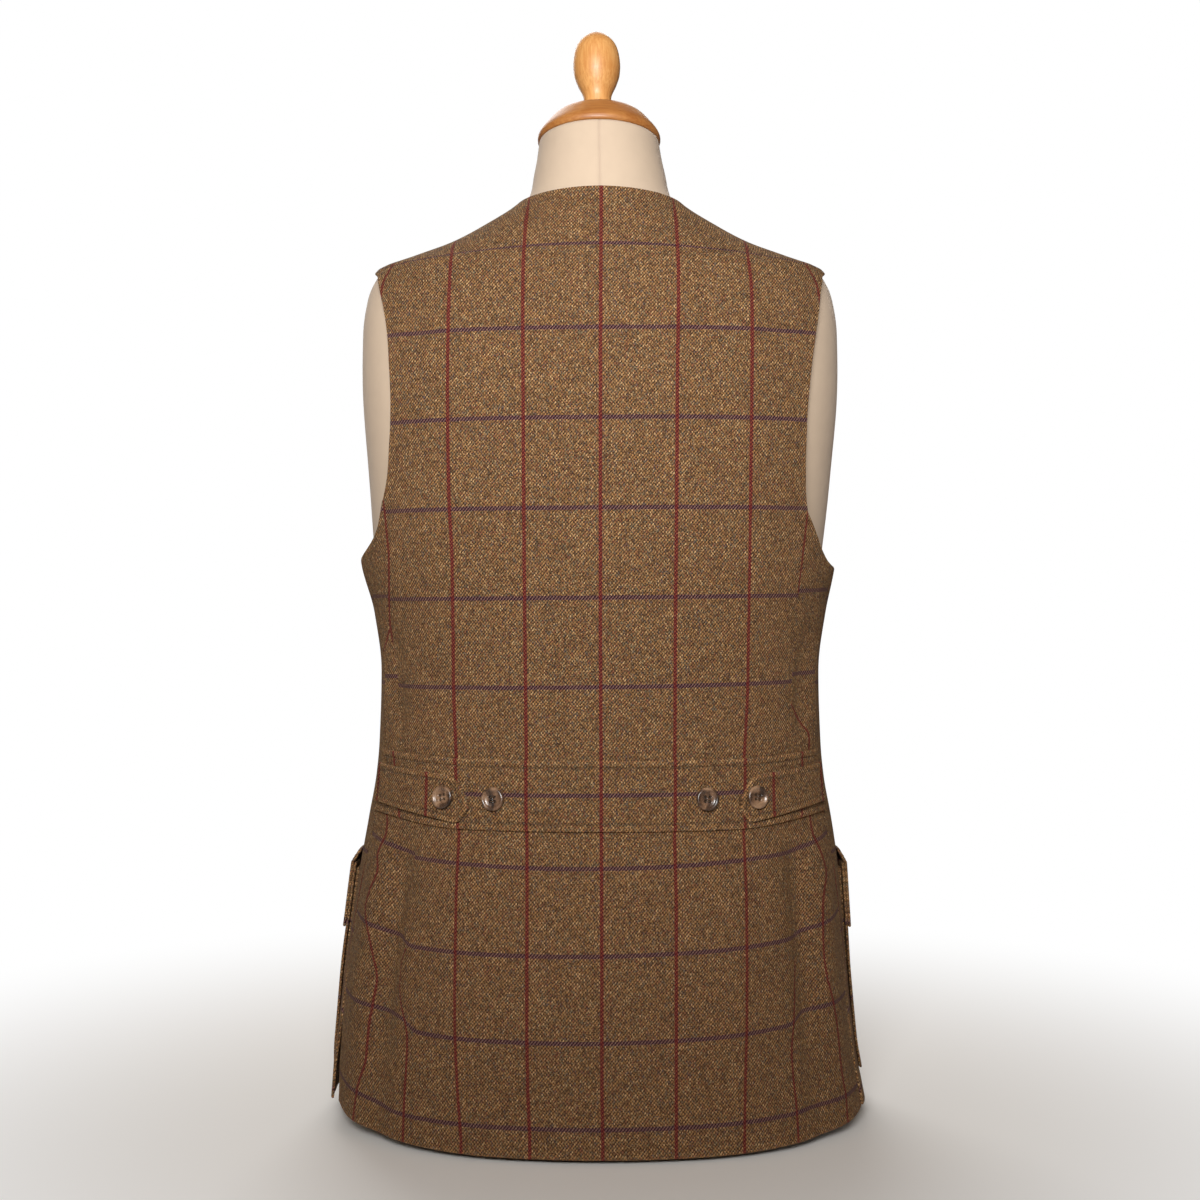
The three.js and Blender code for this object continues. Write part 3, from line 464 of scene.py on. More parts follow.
@dataclass
class CheckMap:
    """Where the stripes and lines of the check lie on the worn cloth.
    """

    body: Body
    # Stripe number, then (height, distance from the centre line to the wearer's left).
    stripes: dict[int, Rows] = field(default_factory=lambda: {
        -3: (
            (11, -155.2), (38, -153.7), (57, -151.7), (76, -150.8), (100, -153.9),
            (130, -157.1), (174, -161.4), (225, -158), (280, -162), (345, -162), (425, -162),
            (437, -158.8), (446, -159.6), (459, -160.9), (473, -162.3), (485, -163.5),
            (500, -165.3), (510, -169), (560, -168.5), (600, -171), (640, -177), (669, -176.3),
            (682, -174.8), (689.5, -172.9), (695, -170.2), (705, -166),
        ),
        -2: (
            (15, -111.1), (60, -112), (105, -113.2), (197, -113.6), (242, -113),
            (296, -113.6), (320, -115), (367, -117), (509, -117.5), (602, -118.5),
            (675, -119.2), (701, -117.9),
        ),
        -1: (
            (19, -58.3), (109, -58.6), (199, -58.9), (244, -58.1), (321, -58.6),
            (415, -58.7), (508, -59.3), (601, -60), (698, -61.6), (727, -61.2), (758, -60.1),
        ),
        0: (
            (20, -2.1), (65, -1.5), (155, -1.4), (245, -1.1), (322, -0.8), (415, -0.3),
            (601, -0.3), (698, -0.7), (751, -1),
        ),
        1: (
            (19, 53.7), (64, 55.5), (109, 56.2), (199, 56.5), (282, 57.3), (368, 58.2),
            (508, 59), (601, 59.6), (698, 60.4), (757, 58.2),
        ),
        2: (
            (16, 106.6), (61, 109.9), (106, 111.6), (197, 111.5), (242, 110.7), (281, 112.1),
            (320, 114.3), (367, 115.6), (462, 115.6), (509, 117.7), (602, 118.9), (701, 118.4),
        ),
        3: (
            (9, 154), (40, 152.9), (60, 151.8), (86, 150.8), (100, 153), (114, 157.5),
            (131, 159.8), (170, 158), (225, 156), (280, 163), (306, 166), (345, 171),
            (388, 172.5), (400, 170.2), (412, 171.3), (440, 169.8), (466, 168.8), (484, 170.3),
            (508, 172.8), (516, 175), (560, 172), (600, 171), (640, 176.5), (671, 176.3),
            (679, 175.7), (687.5, 174.5), (693.7, 171.9), (704.8, 167.3),
        ),
    })
    # Height of each line at the centre back, how much it rises over 100 mm to the wearer's
    # right, and how much it lifts 140 mm out on both sides.
    lines: Rows = (
        (27.3, 0.2, 1.0), (92.0, 0.9, 2.6), (157.5, 1.3, 2.4), (223.1, 1.0, 3.9),
        (292.9, 1.2, 2.0), (362.8, 1.2, 0.2), (432.6, 0.9, 0.2), (502.3, 0.7, 0),
        (572.3, 0.7, -0.4), (642.8, 0.7, -0.8), (713.4, 0.6, -8.6),
    )

    # Height and turn of a side panel's own stripe.
    side_stripe: dict[Side, Rows] = field(default_factory=lambda: {
        Side.LEFT: (
            (17, 0.709), (39, 0.696), (65, 0.671), (88, 0.672), (112, 0.665), (126, 0.662),
            (151, 0.692), (175, 0.739), (182, 0.751), (195, 0.738), (212, 0.716),
            (225, 0.734), (241, 0.716), (280, 0.8), (325, 0.9), (343, 0.9), (372, 0.88),
            (396, 0.78), (412, 0.728), (440, 0.676), (466, 0.644), (500, 0.65),
        ),
        Side.RIGHT: (
            (16, 0.724), (32, 0.734), (80, 0.734), (108, 0.722), (132, 0.702), (150, 0.699),
            (184, 0.711), (196, 0.722), (211, 0.744), (226, 0.733), (243, 0.711),
            (280, 0.74), (319, 0.77), (332, 0.724), (340, 0.698), (352, 0.65), (430, 0.622),
            (500, 0.62),
        ),
    })
    # Height, how much higher a side panel's line lies than at the centre back where its
    # turn is 0.6, and how much more where it is 0.8.
    side_lines: dict[Side, Rows] = field(default_factory=lambda: {
        Side.LEFT: (
            (31, 4, 9.5), (105, 12.5, 5.2), (166, 7, 8.5), (230, 6.7, 9), (300, 5, 6),
            (363, 5.4, 0.5), (430, 1, 0.2), (500, 1, 0),
        ),
        Side.RIGHT: (
            (31, 3, 1), (104, 12, 3), (167, 8, 9), (231, 6.7, 10), (300, 6, 5),
            (363, 7.5, 1.5), (430, 5.2, 1.5), (500, 5, 1),
        ),
    })

    def __post_init__(self) -> None:
        """Turns the tables into curves."""
        self._stripes = {key: SmoothCurve(rows) for key, rows in self.stripes.items()}
        levels = [row[0] for row in self.lines]
        self._count = [(level, i * WEFT_REPEAT) for i, level in enumerate(levels)]
        self._tilt = SmoothCurve([(row[0], row[1]) for row in self.lines])
        self._lift = SmoothCurve([(row[0], row[2]) for row in self.lines])

    def stripe_turn(self, key: int, height: np.ndarray) -> np.ndarray:
        """The turn of one stripe of the back, below 0 on the right."""
        distance = self._stripes[key](height)
        side = np.where(distance < 0, -1.0, 1.0)
        return side * self.body.turn_across(np.abs(distance), height, side)

    def across(self, turn: np.ndarray, height: np.ndarray) -> np.ndarray:
        """The check's own coordinate round the back, a multiple of the repeat at a stripe."""
        arc = self.body.arc(turn, height)
        arcs = {key: self.body.arc(self.stripe_turn(key, height), height) for key in self._stripes}
        keys = sorted(arcs)
        result = np.zeros_like(arc)
        for low, high in zip(keys[:-1], keys[1:]):
            span = arcs[high] - arcs[low]
            value = (low + (arc - arcs[low]) / span) * WARP_REPEAT
            inside = (arc >= arcs[low]) & (arc < arcs[high])
            inside |= (low == keys[0]) & (arc < arcs[low])
            inside |= (high == keys[-1]) & (arc >= arcs[high])
            result = np.where(inside, value, result)
        return result

    def side_across(self, turn: np.ndarray, height: np.ndarray, side: Side) -> np.ndarray:
        """The same on a side panel, where the next stripe of the cloth is the panel's own.

        Below the dart's end the cloth is one with the back's.
        """
        own = SmoothCurve(self.side_stripe[side])(height)
        cut = (turn - own) * self.body.quarter(height)
        last = np.abs(self.stripe_turn(3 * side.value, height))
        whole = np.where(turn < own, (turn - own) / (own - last) * WARP_REPEAT, cut)
        value = lerp(whole, cut, smooth_step(*DART_END, height))
        return side.value * (value + 4 * WARP_REPEAT)

    def up(self, level: np.ndarray) -> np.ndarray:
        """The check's own coordinate up the cloth, a multiple of the repeat at a line."""
        x, y = np.array(self._count, float).T
        below = y[0] + (level - x[0]) * WEFT_REPEAT / (x[1] - x[0])
        above = y[-1] + (level - x[-1])
        inner = np.interp(level, x, y)
        return np.where(level < x[0], below, np.where(level > x[-1], above, inner))

    def back_rise(self, turn: np.ndarray, height: np.ndarray) -> np.ndarray:
        """How much higher a line lies on the back than at the centre back."""
        arc = np.clip(self.body.arc(turn, height), -175, 175)
        return self._lift(height) * (arc / 140) ** 2 - self._tilt(height) * arc / 100

    def side_rise(self, turn: np.ndarray, height: np.ndarray, side: Side) -> np.ndarray:
        """How much higher a line lies on a side panel than at the centre back."""
        base, slope = (
            SmoothCurve([(row[0], row[k]) for row in self.side_lines[side]])(height)
            for k in (1, 2)
        )
        return base + slope * np.clip((turn - 0.6) / 0.2, -0.2, 1.3)

    def place(self, turn: np.ndarray, height: np.ndarray, seam: np.ndarray, on_side: bool) -> np.ndarray:
        """The check's coordinates on the back or on one of the side panels.

        Args:
            turn: Turns, below 0 on the right.
            height: Heights.
            seam: The turn of the side-back seam there, without its sign.
            on_side: Whether the place is on a side panel.

        Returns:
            An array, its last axis across and up.
        """
        result = np.empty((*turn.shape, 2))
        for side in Side:
            here = np.sign(turn) == side.value
            here |= (turn == 0) & (side is Side.LEFT)
            if not here.any():
                continue
            t = np.abs(turn)
            reach = 1 - smooth_step(150, 200, height)
            out = (t - seam) * self.body.quarter(height)
            out = out if on_side else np.minimum(out, -0.02)
            low, high = -10 * reach - 0.01, 12 * reach + 0.01
            share = np.clip((out - low) / (high - low), 0, 1)
            share = share * share * (3 - 2 * share)
            rise = lerp(self.back_rise(turn, height), self.side_rise(t, height, side), share)
            across = self.side_across(t, height, side) if on_side else self.across(turn, height)
            value = np.stack([across, self.up(height - rise)], axis=-1)
            result[here] = value[here]
        return result


@dataclass
class Patch:
    """A grid of places on the body, rows by columns, and what the cloth is like there."""

    turn: np.ndarray
    height: np.ndarray
    check: np.ndarray                 # the cloth's own coordinates, last axis across and up
    lift: np.ndarray | float = 0.0
    seam: np.ndarray | None = None    # places on a sewn edge
    flush: np.ndarray | None = None   # places on an edge where one cloth only carries on
    keep: np.ndarray | None = None    # cells that are there
    stitch_in: float = 0.0            # how far a stitched line lies from the free edges
    stitched: np.ndarray | None = None


@dataclass(frozen=True)
class FlatCut:
    """The flat size that a sheet of cloth is cut to."""

    width: float
    length: float
    area: float | None
    rests_on: tuple[str, ...]


def segment_distance(points: np.ndarray, starts: np.ndarray, ends: np.ndarray) -> np.ndarray:
    """The distance from each point to the nearest of some segments, in the plane.

    Args:
        points: Points, rows of two numbers.
        starts: Where the segments start.
        ends: Where they end.

    Returns:
        One distance for each point, large where there are no segments.
    """
    best = np.full(len(points), 1e6)
    for start, end in zip(starts, ends):
        line = end - start
        offset = points - start
        share = np.clip(offset @ line / max(line @ line, 1e-9), 0, 1)
        away = offset - share[:, None] * line
        best = np.minimum(best, np.einsum("ij,ij->i", away, away))
    return np.sqrt(best)


def rounded(distance: np.ndarray, radius: float) -> np.ndarray:
    """How far a rounded edge falls away at a distance from the very edge."""
    inside = np.clip(radius - distance, 0, radius)
    return radius - np.sqrt(np.clip(radius**2 - inside**2, 0, None))


def new_object(
    name: str,
    points: np.ndarray,
    faces: np.ndarray,
    material: bpy.types.Material,
    attributes: dict[str, np.ndarray] | None = None,
) -> bpy.types.Object:
    """Makes a smooth shaded mesh object from points in millimetres.

    Args:
        name: The object's name.
        points: Vertex places.
        faces: Rows of vertex numbers, all of one length.
        material: Its material.
        attributes: Three numbers for each vertex, by name, which materials read.

    Returns:
        The object, linked to the scene.
    """
    mesh = bpy.data.meshes.new(name)
    mesh.from_pydata((points * MM).tolist(), [], faces.tolist())
    for key, values in (attributes or {}).items():
        layer = mesh.attributes.new(key, "FLOAT_VECTOR", "POINT")
        layer.data.foreach_set("vector", values.astype(np.float32).ravel())
    mesh.validate()
    mesh.polygons.foreach_set("use_smooth", np.ones(len(mesh.polygons), bool))
    mesh.materials.append(material)
    made = bpy.data.objects.new(name, mesh)
    bpy.context.scene.collection.objects.link(made)
    return made


def register(made: bpy.types.Object, finish: Finish, *nodes: str) -> bpy.types.Object:
    """Fixes a piece to the part, hides the solids it stands for, and logs its faces."""
    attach(made, "root")
    if nodes:
        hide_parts(*nodes)
    LOG.info("%s: %d faces", made.name, len(made.data.polygons))
    return made


class Cloth:
    """Makes walls of cloth from patches of the body."""

    free_radius = 1.1     # a free edge is turned over the whole wall
    seam_radius = 0.55    # a pressed seam rolls in only a little
    wear_reach = 2.2      # how far the rubbed look of an edge reaches in
    groove_depth = 0.5    # how far topstitching pulls the cloth in
    stitch_pitch = 3.2
    stitch_length = 2.5
    stitch_radius = 0.24

    def __init__(self, body: Body, thread: bpy.types.Material) -> None:
        """Keeps the body that the cloth lies on and the thread that it is sewn with."""
        self.body = body
        self.thread = thread

    def border(self, patch: Patch) -> tuple[np.ndarray, np.ndarray]:
        """The directed border edges of a patch, as numbers of grid places."""
        rows, columns = patch.turn.shape
        number = np.arange(rows * columns).reshape(rows, columns)
        cells = [number[:-1, :-1], number[:-1, 1:], number[1:, 1:], number[1:, :-1]]
        keep = np.ones((rows - 1, columns - 1), bool) if patch.keep is None else patch.keep
        corners = np.stack([cell[keep] for cell in cells], axis=1)
        edges = np.concatenate([corners[:, [k, (k + 1) % 4]] for k in range(4)])
        size = rows * columns
        forward = edges[:, 0] * size + edges[:, 1]
        backward = edges[:, 1] * size + edges[:, 0]
        return corners, edges[~np.isin(forward, backward)]

    def wall(
        self,
        name: str,
        patch: Patch,
        outer: float,
        thickness: float,
        material: bpy.types.Material,
    ) -> bpy.types.Object:
        """Builds a closed wall of cloth over a patch.

        Args:
            name: The object's name.
            patch: The places that it covers.
            outer: How far its outer face stands out of the body's surface.
            thickness: Its thickness.
            material: Its material.

        Returns:
            The wall's object.
        """
        body = self.body
        corners, edges = self.border(patch)
        flat = np.stack([body.arc(patch.turn, patch.height), patch.height], axis=-1).reshape(-1, 2)
        seam = np.zeros(len(flat), bool) if patch.seam is None else patch.seam.ravel()
        flush = np.zeros(len(flat), bool) if patch.flush is None else patch.flush.ravel()
        sewn = seam[edges].all(axis=1)
        free = ~sewn & ~flush[edges].all(axis=1)
        ends = flat[edges]
        free_gap = segment_distance(flat, ends[free, 0], ends[free, 1])
        seam_gap = segment_distance(flat, ends[sewn, 0], ends[sewn, 1])
        free_radius = min(self.free_radius, thickness / 2 - 0.05)
        dip = np.maximum(rounded(free_gap, free_radius), rounded(seam_gap, self.seam_radius))
        relief, groove = np.zeros(len(flat)), np.zeros(len(flat))
        if patch.stitch_in:
            gap = free_gap if patch.stitched is None else patch.stitched.ravel()
            groove = np.exp(-(((gap - patch.stitch_in) / 0.8) ** 2))
            puff = np.exp(-(((gap - patch.stitch_in * 0.5) / 1.9) ** 2))
            relief = 0.4 * puff - self.groove_depth * groove
        lift = np.broadcast_to(patch.lift, patch.turn.shape).ravel() + outer
        point, normal = body.place(patch.turn.ravel(), patch.height.ravel())
        top = point + normal * (lift - dip + relief)[:, None]
        bottom = point + normal * (lift - thickness + dip)[:, None]
        count = len(flat)
        rim = np.stack(
            [edges[:, 1], edges[:, 0], edges[:, 0] + count, edges[:, 1] + count], axis=1
        )
        faces = np.concatenate([corners, corners[:, ::-1] + count, rim])
        used, faces = np.unique(faces, return_inverse=True)
        faces = faces.reshape(-1, 4)
        # Free edges are paler from wear; the stitch grooves are painted darker, as painted shade in the
        # grooves.
        wear_and_groove_shade = np.exp(-np.clip(free_gap, 0, 50) / self.wear_reach) - 1.3 * groove
        cloth = np.column_stack([patch.check.reshape(-1, 2), wear_and_groove_shade])
        # The yarns run at their real distances, and the lines keep their width over the shoulder.
        grid = (*patch.turn.shape, -1)
        rise = np.linalg.norm(np.gradient(point.reshape(grid), axis=0), axis=-1)
        steps = np.abs(np.gradient(patch.check[..., 1], axis=0))
        stretch = np.clip(rise / np.maximum(steps, 1e-6), 0.5, 8).ravel()
        weave = np.column_stack([flat, stretch])
        shift = thickness * np.array([1.0, 1.0, 0.0])
        points = np.concatenate([top, bottom])[used]
        if self.inside_out(points, faces):
            faces = faces[:, ::-1]
        return new_object(
            name, points, faces, material,
            {word: np.concatenate([top_values, top_values + shift])[used]
             for word, top_values in (("cloth", cloth), ("weave", weave))},
        )

    def topstitch(self, name: str, patch: Patch, outer: float) -> None:
        """Sews short rounded stitches in the groove inside a patch's border.

        Args:
            name: The stitches' name.
            patch: The stitched cloth.
            outer: How far its outer face stands out of the body's surface.
        """
        body = self.body
        border = [
            np.concatenate([grid[0, :-1], grid[:-1, -1], grid[-1, :0:-1], grid[::-1, 0]])
            for grid in (patch.turn, patch.height, np.broadcast_to(patch.lift, patch.turn.shape))
        ]
        line = np.stack([body.arc(border[0], border[1]), border[1]], axis=-1)
        step = np.gradient(line, axis=0)
        step /= np.maximum(np.linalg.norm(step, axis=1, keepdims=True), 1e-9)
        inward = np.stack([-step[:, 1], step[:, 0]], axis=1)
        inward *= np.sign(np.einsum("ij,ij->", line.mean(axis=0) - line, inward))
        path = line + inward * patch.stitch_in
        kept = segment_distance(path, line[:-1], line[1:]) > patch.stitch_in - 0.1
        path = np.column_stack([path, border[2]])[kept]
        run = np.concatenate([[0], np.cumsum(np.hypot(*np.diff(path[:, :2], axis=0).T))])
        start = np.arange(0, run[-1] - self.stitch_length, self.stitch_pitch)[:, None]
        at = start + self.stitch_length * np.linspace(0, 1, 5)
        arc, height, lift = (np.interp(at, run, path[:, k]) for k in range(3))
        sunk = np.array([0.3, 0.05, 0, 0.05, 0.3]) + self.groove_depth - self.stitch_radius / 2
        point, normal = body.place(body.turn_of(arc, height), height, lift + outer - sunk)
        along = (point[:, -1] - point[:, 0])[:, None]
        across = np.cross(normal, along)
        across /= np.linalg.norm(across, axis=-1, keepdims=True)
        angle = np.arange(6)[:, None] / 6 * 2 * math.pi
        swell = self.stitch_radius * np.array([0.2, 0.9, 1, 0.9, 0.2])[:, None, None]
        ring = np.cos(angle) * across[:, :, None] + np.sin(angle) * normal[:, :, None]
        points = (point[:, :, None] + swell * ring).reshape(-1, 3)
        number = np.arange(len(points)).reshape(-1, 5, 6)
        after = np.roll(number, -1, axis=2)
        faces = np.stack([number[:, :-1], after[:, :-1], after[:, 1:], number[:, 1:]], axis=-1)
        register(new_object(name, points, faces.reshape(-1, 4), self.thread), Finish.TWEED)

    @staticmethod
    def inside_out(points: np.ndarray, faces: np.ndarray) -> bool:
        """Whether a closed mesh's faces look inward."""
        a, b, c, d = (points[faces[:, k]] for k in range(4))
        volume = np.einsum("ij,ij->", a, np.cross(b, c)) + np.einsum("ij,ij->", a, np.cross(c, d))
        return bool(volume < 0)


EDGE_STEPS = (0.0, 0.25, 0.6, 1.1, 1.9, 3.2)


def levels_between(start: float, end: float, step: float, low: bool, high: bool) -> np.ndarray:
    """Levels from start to end, closer together towards finished edges.

    Args:
        start: The first level.
        end: The last one.
        step: The usual distance.
        low: Whether the start is an edge.
        high: Whether the end is one.

    Returns:
        The rising levels.
    """
    steps = np.array(EDGE_STEPS)
    first = start + (steps if low else steps[:1])
    last = end - (steps if high else steps[:1])[::-1]
    count = max(int(round((last[0] - first[-1]) / step)), 1)
    middle = np.linspace(first[-1], last[0], count + 1)
    return np.concatenate([first[:-1], middle, last[1:]])


@dataclass
class BackPanel:
    """The back, hem to neck, in one piece."""

    cloth: Cloth
    seams: Seams
    check: CheckMap
    tweed: bpy.types.Material
    row_step: float = 4.0
    shoulder_step: float = 0.55
    columns: int = 46
    cut: FlatCut = FlatCut(0.40, 0.79, 0.26, ("form_cover",))

    def levels(self) -> np.ndarray:
        """The levels of the panel's rows, close together where the shoulder runs flat."""
        low = levels_between(HEM, 694.0, self.row_step, True, False)
        bend = np.arange(694.0 + self.shoulder_step, SHOULDER_HEIGHT, self.shoulder_step)
        high = levels_between(SHOULDER_HEIGHT, NECK_HEIGHT, self.row_step * 0.8, False, True)
        return np.concatenate([low, bend, high])

    def patch(self) -> Patch:
        """The panel's places."""
        seams, body = self.seams, self.seams.body
        level = self.levels()[:, None]
        steps = np.array(EDGE_STEPS)[None, :]
        halves = []
        for side in (Side.RIGHT, Side.LEFT):
            height = seams.row_height(level, side.value * 0.62)
            edge = seams.back_edge(height, side) - seams.dart_gap(level)
            inner = edge - steps[:, -1:] / body.quarter(level)
            shares = np.linspace(0, 1, self.columns + 1)[None, :]
            near = edge - steps[:, ::-1][:, 1:] / body.quarter(level)
            halves.append(side.value * np.concatenate([inner * shares, near], axis=1))
        turn = np.concatenate([halves[0][:, :0:-1], halves[1]], axis=1)
        last = 745.0
        share = np.clip((level - last) / (NECK_HEIGHT - last), 0, 1)
        rise = share * NECK_RISE * (1 - np.abs(turn) ** 1.6)
        height = seams.row_height(level, turn) + rise
        seam = np.zeros(turn.shape, bool)
        flush = np.zeros(turn.shape, bool)
        edge = np.empty(turn.shape)
        for column, side in ((0, Side.RIGHT), (-1, Side.LEFT)):
            at = height[:, column]
            flush[:, column] = at < DART_END[0]
            seam[:, column] = (at > DART_END[0] - 5) & (at < seams.seam_top[side] + 0.5)
            seam[:, column] |= at > SHOULDER_HEIGHT - 0.5
            here = np.sign(turn) == side.value
            edge[here] = seams.back_edge(np.minimum(height, seams.seam_top[side]), side)[here]
        edge[turn == 0] = 0.6
        check = self.check.place(turn, height, edge, False)
        return Patch(turn, height, check, seam=seam, flush=flush)

    def build(self) -> None:
        made = self.cloth.wall("back_panel_cloth", self.patch(), 0.0, CLOTH, self.tweed)
        register(made, Finish.TWEED, "back_panel")


@dataclass
class SidePanel:
    """The panel under one arm, from the side-back seam to the side seam."""

    cloth: Cloth
    seams: Seams
    check: CheckMap
    tweed: bpy.types.Material
    side: Side
    row_step: float = 4.0
    upper_rows: int = 14
    columns: int = 22
    cut: FlatCut = FlatCut(0.10, 0.48, 0.033, ("form_cover",))

    def patch(self) -> Patch:
        """The panel's places."""
        seams, body, side = self.seams, self.seams.body, self.side
        level = levels_between(HEM, TRUNK_TOP, self.row_step, True, False)[:, None]
        upper = levels_between(0, 60, 60 / self.upper_rows, False, True)[1:, None] / 60
        under = seams.under[side]
        seam_top = seams.seam_top[side]

        def edges(from_height: Any, to_height: Any) -> tuple[np.ndarray, np.ndarray]:
            start = seams.back_edge(from_height, side) + seams.dart_gap(from_height)
            return start, seams.side_turn(to_height)

        low = edges(
            seams.row_height(level, side.value * 0.62), seams.row_height(level, side.value * 0.82)
        )
        high = edges(
            lerp(TRUNK_TOP, seam_top, upper), lerp(TRUNK_TOP, under(SIDE_SEAM_TOP), upper)
        )
        start, end = (np.concatenate(pair) for pair in zip(low, high))
        rows = np.concatenate([level, np.full_like(upper, TRUNK_TOP)])
        share = self.shares(body, end - start, rows)
        top_turn = lerp(seams.back_edge(seam_top, side), SIDE_SEAM_TOP, share)
        height = seams.row_height(rows, side.value * lerp(start, end, share))
        height[len(level):] = lerp(TRUNK_TOP, under(top_turn[len(level):]), upper)
        gap, _, back_lift = seams.vent(height, side)
        turn = lerp(start, end - gap / 2 / body.quarter(height), share)
        seam = np.zeros(turn.shape, bool)
        flush = np.zeros(turn.shape, bool)
        seam[:, 0] = height[:, 0] > DART_END[0] - 5
        flush[:, 0] = height[:, 0] < DART_END[0]
        seam[:, -1] = height[:, -1] > VENT_TOP - 2
        edge = seams.back_edge(np.minimum(height, seam_top), side)
        check = self.check.place(side.value * turn, height, edge, True)
        lift = back_lift * smooth_step(0.5, 1, share)
        return Patch(side.value * turn, height, check, lift=lift, seam=seam, flush=flush)

    def shares(self, body: Body, span: np.ndarray, rows: np.ndarray) -> np.ndarray:
        """Shares of the way across, closer together near both edges."""
        width = span * body.quarter(rows)
        steps = np.array(EDGE_STEPS)[None, :] / width
        inner = lerp(steps[:, -1:], 1 - steps[:, -1:], np.linspace(0, 1, self.columns + 1)[None, :])
        return np.concatenate([steps[:, :-1], inner, 1 - steps[:, ::-1][:, 1:]], axis=1)

    def build(self) -> None:
        name = f"side_panel_{self.side.word}"
        made = self.cloth.wall(f"{name}_cloth", self.patch(), 0.0, CLOTH, self.tweed)
        register(made, Finish.TWEED, name)


